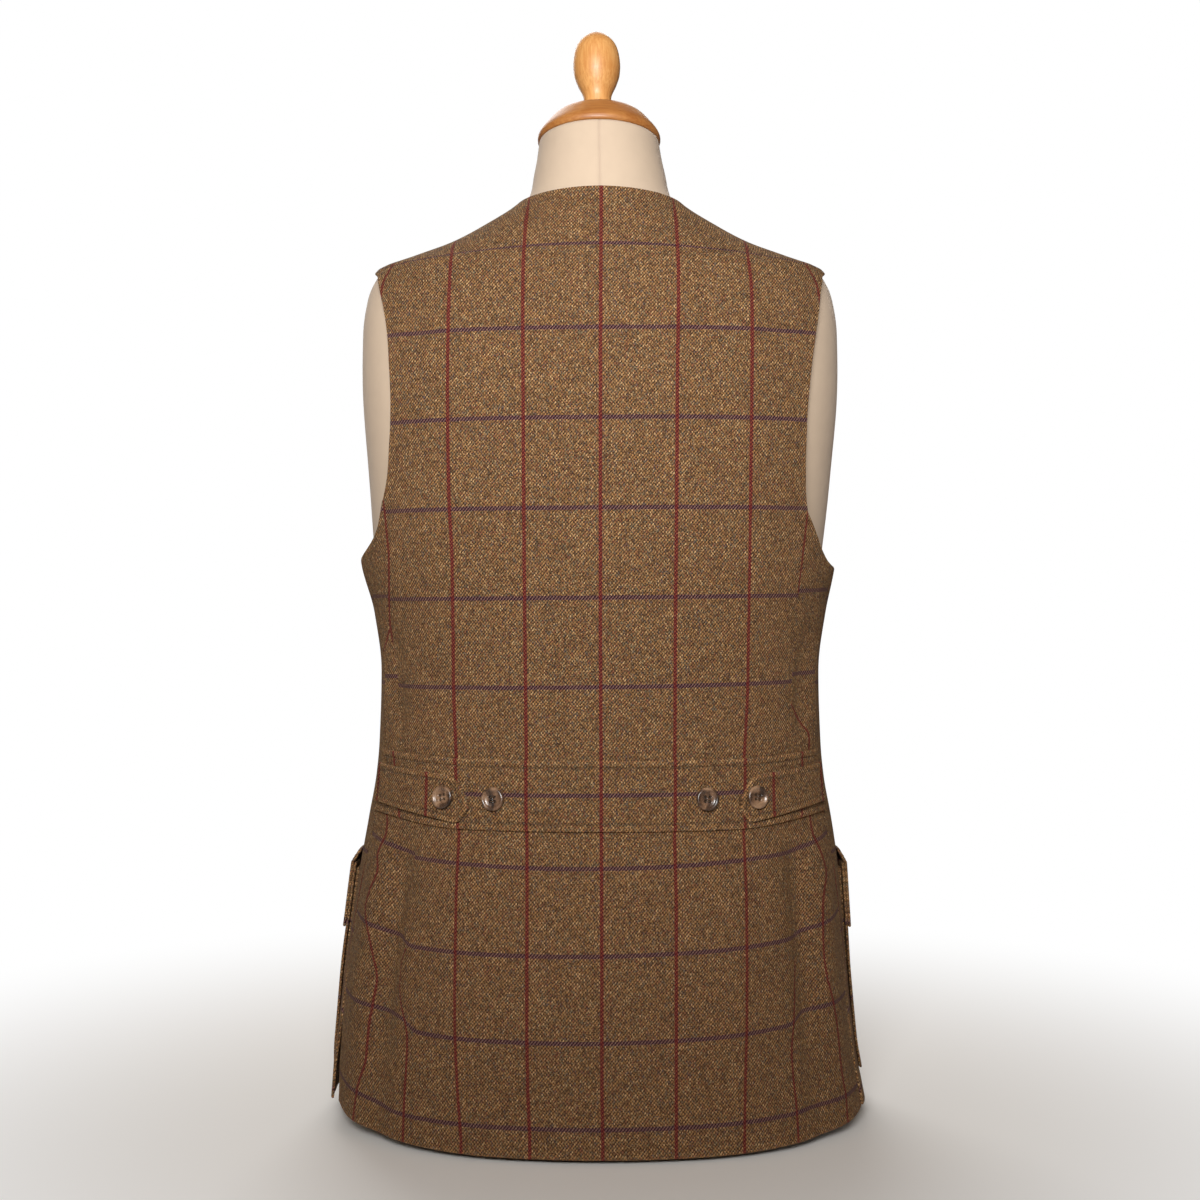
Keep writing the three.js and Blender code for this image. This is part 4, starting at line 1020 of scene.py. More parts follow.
@dataclass
class FrontPanel:
    """One front, from the side seam to its edge at the centre, with its pocket's places."""

    cloth: Cloth
    seams: Seams
    check: CheckMap
    tweed: bpy.types.Material
    side: Side
    row_step: float = 4.5
    join_rows: int = 14
    cut: FlatCut = FlatCut(0.31, 0.78, 0.19, ("form_cover",))
    # Millimetres from the centre front, by column, from the third column on.
    distances: Sequence[float] = (
        290, 286, 258, 229, 201, 173, 144, 116, 112, 94, 76, 58, 40, 27, 14, 0, -OVERLAP,
    )
    low_shares: Sequence[float] = (0, 0.12, 0.24, 0.37, 0.5, 0.64, 0.82, 1)
    high_shares: Sequence[float] = (0, 0.13, 0.26, 0.34, 0.43, 0.52, 0.61, 0.7, 0.78, 0.86, 0.93, 1)
    junction_column: int = 7
    last_column: int = 18
    blend: tuple[float, float] = (218, 306)
    stripe_distance: float = 30.0     # first stripe of the check from the centre front

    def columns(self) -> np.ndarray:
        """Column numbers, close together near the side seam, the armhole and the edge."""
        join, last = self.junction_column, self.last_column
        return np.concatenate([
            [0, 0.01, 0.025, 0.05, 0.09, 0.15],
            np.linspace(0.3, join, 44)[:-1],
            join + np.array([0, 0.02, 0.05, 0.09, 0.16, 0.27]),
            np.linspace(join + 0.5, last - 0.6, 42),
            last - np.array([0.4, 0.24, 0.14, 0.08, 0.035, 0]),
        ])

    def to_turn(self, distance: Any, height: Any) -> np.ndarray:
        """The turn at a distance from the centre front, measured round the body."""
        rest, quarter = self.seams.body.front_quarter(height), self.seams.body.quarter(height)
        turn = 2 - distance / rest
        return np.where(turn >= 1, turn, 1 - (distance - rest) / quarter)

    def turn_at(self, column: np.ndarray, height: np.ndarray) -> np.ndarray:
        """The turn of a column at a height."""
        seams, body, side = self.seams, self.seams.body, self.side
        gap, _, _ = seams.vent(height, side)
        seam = seams.side_turn(height) + gap / 2 / body.quarter(height)
        numbers = np.arange(2, self.last_column + 1)
        distance = np.interp(column, numbers, self.distances)
        near = lerp(seam, self.to_turn(self.distances[0], height), np.clip(column / 2, 0, 1))
        low = np.where(column < 2, near, self.to_turn(distance, height))
        rest = body.front_quarter(height)
        front = np.where(height < BREAK_HEIGHT, 2 + OVERLAP / rest, seams.v_turn(height))
        arm = seams.arm_turn(np.minimum(height, SHOULDER_HEIGHT))
        arm = np.where(height < JUNCTION_HEIGHT, JUNCTION, arm)
        start = np.where(height < SHOULDER_HEIGHT, arm, 1 + SEAM_GAP / 2 / rest)
        join = self.junction_column
        behind = np.interp(column, np.arange(join + 1), self.low_shares)
        ahead = np.interp(column, np.arange(join, self.last_column + 1), self.high_shares)
        high = np.where(column < join, lerp(seam, JUNCTION, behind), lerp(start, front, ahead))
        return lerp(low, high, smooth_step(*self.blend, height))

    def own_lift(self, turn: np.ndarray, height: np.ndarray) -> np.ndarray:
        """How far the front stands off the body: the vent's edge and the overlap."""
        _, front_lift, _ = self.seams.vent(height, self.side)
        near = 1 - smooth_step(0, 0.1, turn - self.seams.side_turn(height))
        lift = front_lift * near
        if self.side is Side.RIGHT:
            distance = (2 - np.abs(turn)) * self.seams.body.front_quarter(height)
            drop = -UNDER_DROP * (1 - smooth_step(OVERLAP, 40, distance))
            lift = lift + np.where(height < BREAK_HEIGHT + 60, drop, 0)
        return lift

    def check_at(self, turn: np.ndarray, height: np.ndarray) -> np.ndarray:
        """The cloth's own coordinates on the front, straight to the centre front."""
        body = self.seams.body
        whole = body.quarter(height) + body.front_quarter(height)
        distance = whole - body.arc(turn, height)
        across = distance + WARP_REPEAT - self.stripe_distance
        return np.stack([self.side.value * across, self.check.up(height)], axis=-1)

    def patch(self) -> Patch:
        """The panel's places."""
        seams, side = self.seams, self.side
        join = self.junction_column
        trunk = levels_between(HEM, TRUNK_TOP, self.row_step, True, False)
        arm_steps = levels_between(0, 75, 75 / self.join_rows, False, True)[1:] / 75
        cross = np.linspace(0, 1, 7)[1:]
        upper = np.concatenate([
            np.arange(530 + self.row_step, 680, self.row_step),
            np.arange(680, 694, 2.0), np.arange(694, SHOULDER_HEIGHT, 0.6),
            np.arange(SHOULDER_HEIGHT, 754, 3.0), np.arange(754, NECK_HEIGHT - 0.3, 0.5),
            [NECK_HEIGHT - 0.2],
        ])
        column = self.columns()[None, :]
        kind = np.concatenate([
            np.zeros(len(trunk)), np.ones(len(arm_steps)), np.full(len(cross), 2.0),
            np.zeros(len(upper)),
        ])[:, None]
        level = np.concatenate([trunk, arm_steps, cross, upper])[:, None]
        behind = np.interp(column, np.arange(join, self.last_column + 1), self.high_shares)
        height = np.where(kind == 0, level, 480.0) + 0 * column
        for _ in range(5):
            turn = self.turn_at(column, height)
            top = seams.under[side](np.minimum(turn, JUNCTION))
            flat_top = lerp(JUNCTION_HEIGHT, BREAK_HEIGHT, behind)
            top = np.where(column >= join, flat_top, top)
            height = np.select(
                [kind == 1, kind == 2],
                [lerp(TRUNK_TOP, top, level),
                 lerp(top, seams.row_height(530.0 + 0 * turn, side.value * turn), level)],
                seams.row_height(level, side.value * turn),
            )
        keep = np.ones((turn.shape[0] - 1, turn.shape[1] - 1), bool)
        first_arm = len(trunk) + len(arm_steps) - 1
        keep[first_arm:, :] = column[0, :-1][None, :] >= join
        seam = np.zeros(turn.shape, bool)
        seam[:first_arm + 1, 0] = height[:first_arm + 1, 0] > VENT_TOP - 2
        seam |= (column == join) & (height > SHOULDER_HEIGHT - 0.5)
        check = self.check_at(turn, height)
        return Patch(
            side.value * turn, height, check, lift=self.own_lift(turn, height), seam=seam, keep=keep
        )

    def build(self) -> None:
        name = f"front_panel_{self.side.word}"
        made = self.cloth.wall(f"{name}_cloth", self.patch(), 0.0, CLOTH, self.tweed)
        register(made, Finish.TWEED, name)


@dataclass
class WaistBand:
    """The band across the back, stitched on over the panels along both its edges."""

    cloth: Cloth
    seams: Seams
    check: CheckMap
    tweed: bpy.types.Material
    low: float = 250.0
    high: float = 306.0
    trim: float = 0.4
    stitch_in: float = 6.0
    columns: int = 190
    line_height: float = 278.4
    cut: FlatCut = FlatCut(0.46, 0.055, None, ("back_panel_cloth",))

    def patch(self) -> Patch:
        """The band's places."""
        seams, body = self.seams, self.seams.body
        fine = np.array([0, 0.25, 0.6, 1.1, 1.9, 2.8, 3.7, 4.6, 5.2, 5.6, 6, 6.4, 6.8, 7.4, 8.4])
        width = self.high - self.low
        middle = np.linspace(fine[-1], width - fine[-1], 16)[1:-1]
        level = self.low + np.concatenate([fine, middle, width - fine[::-1]])[:, None]
        ends = []
        for side in Side:
            end = seams.side_turn(seams.row_height(level, side.value * 0.82))
            ends.append(side.value * (end - seams.half_gap(level)))
        steps = np.array(EDGE_STEPS)[None, :] / body.quarter(level)
        inner = lerp(
            ends[1] + steps[:, -1:], ends[0] - steps[:, -1:],
            np.linspace(0, 1, self.columns)[None, :],
        )
        turn = np.concatenate(
            [ends[1] + steps[:, :-1], inner, ends[0] - steps[:, ::-1][:, 1:]], axis=1
        )
        share = (level - self.low) / width
        height = seams.row_height(level, turn) + lerp(self.trim, -self.trim, share)
        away = np.minimum(level - self.low, self.high - level) + 0 * turn
        rise = seams.row_height(level, turn) - level
        up = height - rise - self.line_height + 0.006 * body.arc(turn, height)
        check = np.stack([self.check.across(turn, height), up], axis=-1)
        return Patch(turn, height, check, stitch_in=self.stitch_in, stitched=away)

    def build(self) -> None:
        patch = self.patch()
        made = self.cloth.wall("back_band_cloth", patch, BAND_LIFT, BAND_WALL, self.tweed)
        register(made, Finish.TWEED, "back_band")
        self.cloth.topstitch("back_band_stitches", patch, BAND_LIFT)


@dataclass
class Tab:
    """A pointed tab from the side seam, buttoned on the band."""

    cloth: Cloth
    seams: Seams
    tweed: bpy.types.Material
    side: Side
    # Distance across, lower edge and upper edge.
    outline: Rows = (
        (104.8, 266, 272.3), (108.2, 260.5, 279.5), (112.5, 255.6, 286.2),
        (116.5, 255, 290.2), (120.7, 255.8, 292.2), (135, 258.2, 293.6),
        (155, 261.8, 295.2), (176, 265.2, 297),
    )
    # How far the left tip and the right one lie from the outline's.
    tip_shift: tuple[float, float] = (-2.8, 3.8)
    end_share: float = 0.805
    stitch_in: float = 5.0
    stripe_across: float = 135.2
    rows: int = 46
    columns: int = 84
    cut: FlatCut = FlatCut(0.105, 0.04, None, ("back_band_cloth",))

    def patch(self) -> Patch:
        """The tab's places."""
        seams, body, side = self.seams, self.seams.body, self.side
        tip, root = self.outline[0][0], self.outline[-1][0]
        shift = self.tip_shift[0 if side is Side.LEFT else 1]
        across_rows = [row[0] + shift * (root - row[0]) / (root - tip) for row in self.outline]
        lower = SmoothCurve([(a, row[1]) for a, row in zip(across_rows, self.outline)])
        upper = SmoothCurve([(a, row[2]) for a, row in zip(across_rows, self.outline)])
        half = np.interp(285, body.heights, body._x[:, -1 - body.turn_steps // 2])
        power = 2 / 2.2
        end = half * math.sin(self.end_share * math.pi / 2) ** power
        first = across_rows[0]
        steps = np.array(EDGE_STEPS)
        across = np.concatenate([
            first + steps[:-1], np.linspace(first + steps[-1], end, self.columns),
        ])[None, :]
        share = np.concatenate([
            steps[:-1] / 40, np.linspace(steps[-1] / 40, 1 - steps[-1] / 40, self.rows),
            1 - steps[-2::-1] / 40,
        ])[:, None]
        height = lerp(lower(across), upper(across), share)
        turn = np.minimum(
            body.turn_across(across + 0 * height, height, side.value),
            seams.side_turn(height) - 0.002,
        )
        stripe = body.arc(body.turn_across(self.stripe_across, 275.0, side.value), 275.0)
        check = np.stack([
            side.value * (body.arc(turn, height) - stripe), height - 275 + WEFT_REPEAT / 2
        ], axis=-1)
        return Patch(side.value * turn, height, check, stitch_in=self.stitch_in)

    def build(self) -> None:
        name = f"tab_{self.side.word}"
        patch = self.patch()
        made = self.cloth.wall(f"{name}_cloth", patch, TAB_LIFT, TAB_WALL, self.tweed)
        register(made, Finish.TWEED, name)
        self.cloth.topstitch(f"{name}_stitches", patch, TAB_LIFT)


@dataclass
class Pocket:
    """A patch pocket on one front: its bellows, its face and its buttoned flap."""

    front: FrontPanel
    low: float = 24.0
    low_inner: float = 28.0
    flap_low: float = 152.0
    high_inner: float = 202.0
    high: float = 206.0
    flap_high: float = 218.0
    outer: tuple[float, float] = (112.0, 290.0)
    inner: tuple[float, float] = (116.0, 286.0)
    stitch_in: float = 5.0
    step: float = 2.2

    def patch(self, low: float, high: float, reach: tuple[float, float], stitch: float) -> Patch:
        """A rectangle of places between two levels and two distances from the centre."""
        front = self.front
        level = levels_between(low, high, self.step, True, True)[:, None]
        distance = levels_between(*reach, self.step, True, True)[None, ::-1]
        height = level + 0 * distance
        for _ in range(4):
            turn = front.to_turn(distance, height)
            height = front.seams.row_height(level, front.side.value * turn)
        return Patch(
            front.side.value * turn, height, front.check_at(turn, height),
            lift=front.own_lift(turn, height), stitch_in=stitch,
        )

    def build(self) -> None:
        front = self.front
        word = front.side.word
        flap = self.patch(self.flap_low, self.flap_high, self.outer, self.stitch_in)
        level = levels_between(self.flap_low, self.flap_high, self.step, True, True)[:, None]
        drop = FLAP_LIFT - LAYER_GAP - FLAP_WALL
        flap.lift = flap.lift - drop * np.clip((level - self.high) / (self.flap_high - self.high), 0, 1)
        layers = (
            ("bellows", self.patch(self.low_inner, self.high_inner, self.inner, 0.0),
             BELLOWS_LIFT, BELLOWS_WALL, FlatCut(0.170, 0.176, None, (f"front_panel_{word}_cloth",))),
            ("face", self.patch(self.low, self.high, self.outer, self.stitch_in),
             FACE_LIFT, POCKET_WALL, FlatCut(0.178, 0.186, None, (f"pocket_bellows_{word}_cloth",))),
            ("flap", flap, FLAP_LIFT, FLAP_WALL,
             FlatCut(0.178, 0.068, None, (f"pocket_face_{word}_cloth",))),
        )
        for kind, patch, lift, wall, cut in layers:
            name = f"pocket_{kind}_{word}"
            made = front.cloth.wall(f"{name}_cloth", patch, lift, wall, front.tweed)
            register(made, Finish.TWEED, name)
            if patch.stitch_in:
                front.cloth.topstitch(f"{name}_stitches", patch, lift)


def turned(
    profile: Rows, segments: int, smooth: int = 1
) -> tuple[np.ndarray, np.ndarray]:
    """A turned solid about +Z with points on its axis at both ends.

    Args:
        profile: Rows of (radius, height), from the axis to the axis.
        segments: How many steps it has round.
        smooth: How many steps each row of the profile is split into.

    Returns:
        Its points and its faces, all with four corners, two of them alike at the poles.
    """
    rows = np.array(profile, float)
    if smooth > 1:
        run = np.concatenate([[0], np.cumsum(np.hypot(*np.diff(rows, axis=0).T))])
        at = np.concatenate([
            np.linspace(a, b, smooth, endpoint=False) for a, b in zip(run[:-1], run[1:])
        ] + [[run[-1]]])
        rows = np.column_stack([
            SmoothCurve(np.column_stack([run, rows[:, k]]))(at) for k in (0, 1)
        ])
    angle = np.arange(segments) / segments * 2 * math.pi
    radius = np.maximum(rows[:, 0], 1e-4)[:, None]
    points = np.stack([
        radius * np.cos(angle), radius * np.sin(angle), rows[:, 1][:, None] + 0 * angle
    ], axis=-1).reshape(-1, 3)
    number = np.arange(len(points)).reshape(len(rows), segments)
    after = np.roll(number, -1, axis=1)
    faces = np.stack([number[:-1], after[:-1], after[1:], number[1:]], axis=-1).reshape(-1, 4)
    return points, faces


def merged(made: bpy.types.Object, distance: float = 0.00001) -> None:
    """Joins points of a mesh that lie together, such as those at its poles."""
    import bmesh

    mesh = bmesh.new()
    mesh.from_mesh(made.data)
    bmesh.ops.remove_doubles(mesh, verts=mesh.verts, dist=distance)
    bmesh.ops.recalc_face_normals(mesh, faces=mesh.faces)
    mesh.to_mesh(made.data)
    mesh.free()


@dataclass
class ButtonSet:
    """The horn buttons, each with four holes and its thread."""

    seams: Seams
    horn: bpy.types.Material
    thread: bpy.types.Material
    shank_painted_shade: bpy.types.Material
    front_heights: Sequence[float] = (488, 398, 308, 218, 128)
    band_at: tuple[float, float] = (82.8, 274.4)
    tab_at: tuple[float, float] = (121.0, 274.2)
    pocket_height: float = 168.0
    pocket_distance: float = 201.0
    # Radius and height from the underside's middle round the rim to the dish's middle.
    profile: Rows = (
        (0, 0), (5.5, 0), (7.4, 0.12), (8.5, 0.55), (9.05, 1.1), (9.25, 1.9), (9.12, 2.7),
        (8.7, 3.3), (8.2, 3.62), (7.7, 3.7), (7.15, 3.6), (6.7, 3.25), (6.2, 2.85),
        (5.6, 2.55), (4.6, 2.36), (3, 2.3), (0, 2.3),
    )
    hole_radius: float = 1.15
    hole_from_middle: float = 2.4
    thread_radius: float = 0.2

    def blank(self) -> bpy.types.Mesh:
        """The button's mesh about +Z, with its four holes cut."""
        points, faces = turned(self.profile, 64)
        made = new_object("button_blank", points, faces, self.horn)
        merged(made)
        for k in range(4):
            angle = math.pi / 4 + k * math.pi / 2
            ring, sides = turned(
                ((0, -1), (self.hole_radius, -1), (self.hole_radius, 5), (0, 5)), 20
            )
            ring = ring + self.hole_from_middle * np.array([math.cos(angle), math.sin(angle), 0])
            drill = new_object("drill", ring, sides, self.horn)
            merged(drill)
            cut = made.modifiers.new("hole", "BOOLEAN")
            cut.operation, cut.object, cut.solver = "DIFFERENCE", drill, "EXACT"
            graph = bpy.context.evaluated_depsgraph_get()
            mesh = bpy.data.meshes.new_from_object(made.evaluated_get(graph))
            made.modifiers.clear()
            made.data = mesh
            bpy.data.objects.remove(drill)
        mesh = made.data
        bpy.data.objects.remove(made)
        return mesh

    def stitches(self) -> tuple[np.ndarray, np.ndarray]:
        """Thread through the holes: two bars over the dish."""
        points, faces = [], []
        reach = self.hole_from_middle * math.cos(math.pi / 4)
        along = np.linspace(-1, 1, 13)
        angle = np.arange(8) / 8 * 2 * math.pi
        for y in (-reach, reach):
            x = along * (reach + 0.1)
            z = 2.62 - 2.6 * np.clip(np.abs(along) - 0.86, 0, None) / 0.14
            radius = self.thread_radius
            ring = np.stack([
                x[:, None] + 0 * angle, y + radius * np.cos(angle) + 0 * x[:, None],
                z[:, None] + radius * np.sin(angle),
            ], axis=-1).reshape(-1, 3)
            number = np.arange(len(ring)).reshape(len(along), 8) + sum(map(len, points))
            after = np.roll(number, -1, axis=1)
            faces.append(np.stack(
                [number[:-1], after[:-1], after[1:], number[1:]], axis=-1
            ).reshape(-1, 4))
            points.append(ring)
        return np.concatenate(points), np.concatenate(faces)

    def seats(self) -> list[tuple[str, float, float, float, float]]:
        """Each button's node, turn, height, lift and spin in degrees."""
        body = self.seams.body
        seats = []
        for side in Side:
            word, sign = side.word, side.value
            for name, (across, height), lift, spin in (
                ("band_button", self.band_at, BAND_LIFT, 4 * sign),
                ("tab_button", self.tab_at, TAB_LIFT, 12 * sign),
            ):
                turn = float(body.turn_across(across, height, sign))
                seats.append((f"{name}_{word}", sign * turn, height, lift, spin))
            rest = float(body.front_quarter(self.pocket_height))
            turn = sign * (2 - self.pocket_distance / rest)
            seats.append((f"pocket_button_{word}", turn, self.pocket_height, FLAP_LIFT, 7 * sign))
        for i, height in enumerate(self.front_heights):
            seats.append((f"front_button_{i + 1}", 1.9999, height, 0.0, 3.0 * i - 6))
        return seats

    def build(self) -> None:
        """Builds every button and its thread where it is sewn."""
        blank = self.blank()
        low = -BUTTON_GAP - 0.2
        # The shank under each button is near black: painted shade, so that the holes look dark.
        wound = turned(((0, low), (3.5, low), (3.4, 0.15), (0, 0.15)), 16)
        sewing = (("thread", *self.stitches(), self.thread), ("shank_painted_shade", *wound, self.shank_painted_shade))
        body = self.seams.body
        for name, turn, height, lift, spin in self.seats():
            point, normal = (value.ravel() for value in body.place([turn], [height]))
            seat = Vector(point + normal * (lift + BUTTON_GAP))
            turned_to = upright(Vector(normal)) @ Quaternion((0, 0, 1), math.radians(spin))
            shift = Matrix.LocRotScale(seat * MM, turned_to, None)
            made = bpy.data.objects.new(f"{name}_horn", blank.copy())
            made.data.transform(shift)
            bpy.context.scene.collection.objects.link(made)
            register(made, Finish.HORN, name)
            for word, points, faces, material in sewing:
                sewn = new_object(f"{name}_{word}", points, faces, material)
                sewn.data.transform(shift)
                register(sewn, Finish.TWEED)


def upright(normal: Vector) -> Quaternion:
    """The turn that stands +Z along a direction, with +Y as near to straight up as it can be."""
    z = normal.normalized()
    x = Vector((0, 0, 1)).cross(z).normalized()
    y = z.cross(x)
    return Matrix((x, y, z)).transposed().to_quaternion()


@dataclass
class DressForm:
    """The padded torso and neck in its cotton cover, the turned cap and the knob."""

    body: Body
    cover: bpy.types.Material
    beech: bpy.types.Material
    # The cap's beech is a darker copy of the knob's: painted shade.
    cap_beech_painted_shade: bpy.types.Material
    # Gap between the inside of the cloth and the form, by height.
    ease: Rows = (
        (0, 90), (8, 75), (25, 55), (60, 38), (120, 25), (280, 14), (460, 10), (600, 5),
        (660, 3.2), (690, 2.2), (711, 1.3), (732, 1.3), (751, 1.6), (764, 1.2), (815, 0),
    )
    cap_profile: Rows = (
        (0, 0), (49.8, 0), (50.6, 0.3), (51.3, 1.1), (51.8, 2.5), (51.85, 4), (51.5, 5.5),
        (45.4, 14.4), (37, 23.2), (29.6, 26.6), (21, 29), (13, 31.4), (0, 31.4),
    )
    knob_profile: Rows = (
        (0, 0), (12, 0), (11.6, 4.5), (11.7, 9), (16.9, 22.6), (19.3, 30.4), (20, 38.6),
        (19.4, 46.4), (17.9, 53.4), (15.4, 58.6), (11.9, 62.6), (6.5, 66.6), (0, 68.4),
    )
    cap_height: float = 31.4
    seam_turns: Sequence[float] = (-2, -1, 0, 1, 2)
    seam_depth: float = 0.55
    seam_width: float = 0.9

    def build_cover(self) -> None:
        """Builds the cloth covered torso and neck, closed at the base and at the top."""
        body = self.body
        heights = np.unique(np.concatenate([
            np.linspace(0, 640, 90), np.linspace(640, 770, 60), np.linspace(770, NECK_TOP, 22)
        ]))
        near = np.array([-0.03, -0.012, -0.006, 0, 0.006, 0.012, 0.03])
        turns = np.unique(np.concatenate([
            np.linspace(-2, 2, 161)[:-1], *(turn + near for turn in self.seam_turns),
        ]).round(5))
        turns = turns[(turns >= -2) & (turns < 2)]
        height, turn = np.meshgrid(heights, turns, indexing="ij")
        normal = body.outward(turn, height)
        level = smooth_step(640, 690, height) * (1 - smooth_step(764, 800, height))
        normal[..., 2] *= level
        normal /= np.linalg.norm(normal, axis=-1, keepdims=True)
        share = 1 - smooth_step(764, 790, height)
        arc = body.arc(turn, height)
        gap = np.min([
            np.abs(arc - body.arc(np.full_like(turn, seam), height)) for seam in self.seam_turns
        ], axis=0)
        groove = self.seam_depth * np.exp(-((gap / self.seam_width) ** 2))
        back = CLOTH * share + SmoothCurve(self.ease)(height) + groove
        points = (body.skin(turn, height) - normal * back[..., None]).reshape(-1, 3)
        number = np.arange(len(points)).reshape(turn.shape)
        after = np.roll(number, -1, axis=1)
        faces = np.stack([number[:-1], after[:-1], after[1:], number[1:]], axis=-1).reshape(-1, 4)
        attribute = np.column_stack([arc.ravel(), height.ravel(), np.exp(-gap.ravel() / 1.2)])
        base, top = points[number[0]].mean(axis=0), points[number[-1]].mean(axis=0)
        ends = []
        for centre, ring, flip in ((base, number[0], 1), (top, number[-1], -1)):
            middle = len(points)
            points = np.vstack([points, centre])
            attribute = np.vstack([attribute, [0, centre[2], 0]])
            following = np.roll(ring, -1)
            cap = np.stack([ring, following, np.full_like(ring, middle), ring], axis=1)[:, :3]
            ends.append(cap[:, ::-1] if flip > 0 else cap)
        mesh = bpy.data.meshes.new("form_cover")
        polygons = faces.tolist() + [row for end in ends for row in end.tolist()]
        mesh.from_pydata((points * MM).tolist(), [], polygons)
        layer = mesh.attributes.new("cloth", "FLOAT_VECTOR", "POINT")
        layer.data.foreach_set("vector", attribute.astype(np.float32).ravel())
        smooth = np.ones(len(polygons), bool)
        smooth[len(faces):] = False
        mesh.polygons.foreach_set("use_smooth", smooth)
        mesh.materials.append(self.cover)
        made = bpy.data.objects.new("form_cover", mesh)
        bpy.context.scene.collection.objects.link(made)
        merged(made, 0.000001)
        register(made, Finish.COVER, "form_torso")

    def build_wood(
        self, name: str, node: str, profile: Rows, distance: float, across: float, lean: float,
        grain_along: int, wood: bpy.types.Material,
    ) -> None:
        """Builds one turned piece on the tilted neck.

        Args:
            name: The piece's name.
            node: The solid that it stands for.
            profile: Its rows of radius and height.
            distance: How far it stands along the neck's own line.
            across: How far it is set to the wearer's left.
            lean: How far it leans that way, in radians.
            grain_along: The axis of the turned piece that its grain follows.
            wood: Its material.
        """
        points, faces = turned(profile, 112, smooth=6)
        grain = points.copy()
        grain[:, [grain_along, 2]] = grain[:, [2, grain_along]]
        made = new_object(name, points, faces, wood, {"grain": grain})
        merged(made)
        tilt = math.radians(NECK_TILT)
        axis = Vector((0, -math.sin(tilt), math.cos(tilt)))
        middle = Vector((
            float(self.body.sway(NECK_TOP)), float(self.body.middle(NECK_TOP)), NECK_TOP
        ))
        spin = Vector((0, 0, 1)).rotation_difference(axis) @ Quaternion((0, 1, 0), lean)
        seat = middle + axis * distance + Vector((across, 0, 0))
        made.data.transform(Matrix.LocRotScale(seat * MM, spin, None))
        register(made, Finish.BEECH, node)

    def build(self) -> None:
        """Builds the form from the base up."""
        self.build_cover()
        self.build_wood(
            "neck_cap_beech_painted_shade", "neck_cap", self.cap_profile, LAYER_GAP, 0, 0, 0, self.cap_beech_painted_shade
        )
        self.build_wood(
            "cap_knob_beech", "cap_knob", self.knob_profile, self.cap_height + 0.9, 1.2, 0.02, 2,
            self.beech,
        )


def linear(hex_colour: str) -> tuple[float, float, float, float]:
    """An sRGB hex colour as linear RGBA."""
    channels = [int(hex_colour[i:i + 2], 16) / 255 for i in (0, 2, 4)]
    return (*(c / 12.92 if c <= 0.04045 else ((c + 0.055) / 1.055) ** 2.4 for c in channels), 1.0)


def add_node(tree: bpy.types.NodeTree, kind: str, inputs: Any = (), **settings: Any) -> bpy.types.Node:
    """Adds a shader node with its settings and links.

    Args:
        tree: The material's node tree.
        kind: The node's type, without its ShaderNode prefix.
        inputs: A list in socket order or a dict by socket name. A node stands for its first
            output, and None leaves a socket as it is.
        settings: Properties of the node.

    Returns:
        The node.
    """
    node = tree.nodes.new("ShaderNode" + kind)
    for key, value in settings.items():
        setattr(node, key, value)
    for key, value in inputs.items() if isinstance(inputs, dict) else enumerate(inputs):
        if isinstance(value, bpy.types.Node):
            value = value.outputs[0]
        if isinstance(value, bpy.types.NodeSocket):
            tree.links.new(value, node.inputs[key])
        elif value is not None:
            node.inputs[key].default_value = value
    return node


def new_material(name: str) -> tuple[bpy.types.Material, bpy.types.NodeTree]:
    """An empty material with its node tree."""
    material = bpy.data.materials.new(name)
    material.use_nodes = True
    material.node_tree.nodes.clear()
    return material, material.node_tree


def set_ramp(node: bpy.types.Node, stops: Sequence[tuple[float, str]]) -> bpy.types.Node:
    """Gives a colour ramp its stops, rows of place and hex colour."""
    elements = node.color_ramp.elements
    while len(elements) < len(stops):
        elements.new(0.5)
    for element, (at, colour) in zip(elements, stops):
        element.position = at
        element.color = linear(colour)
    return node


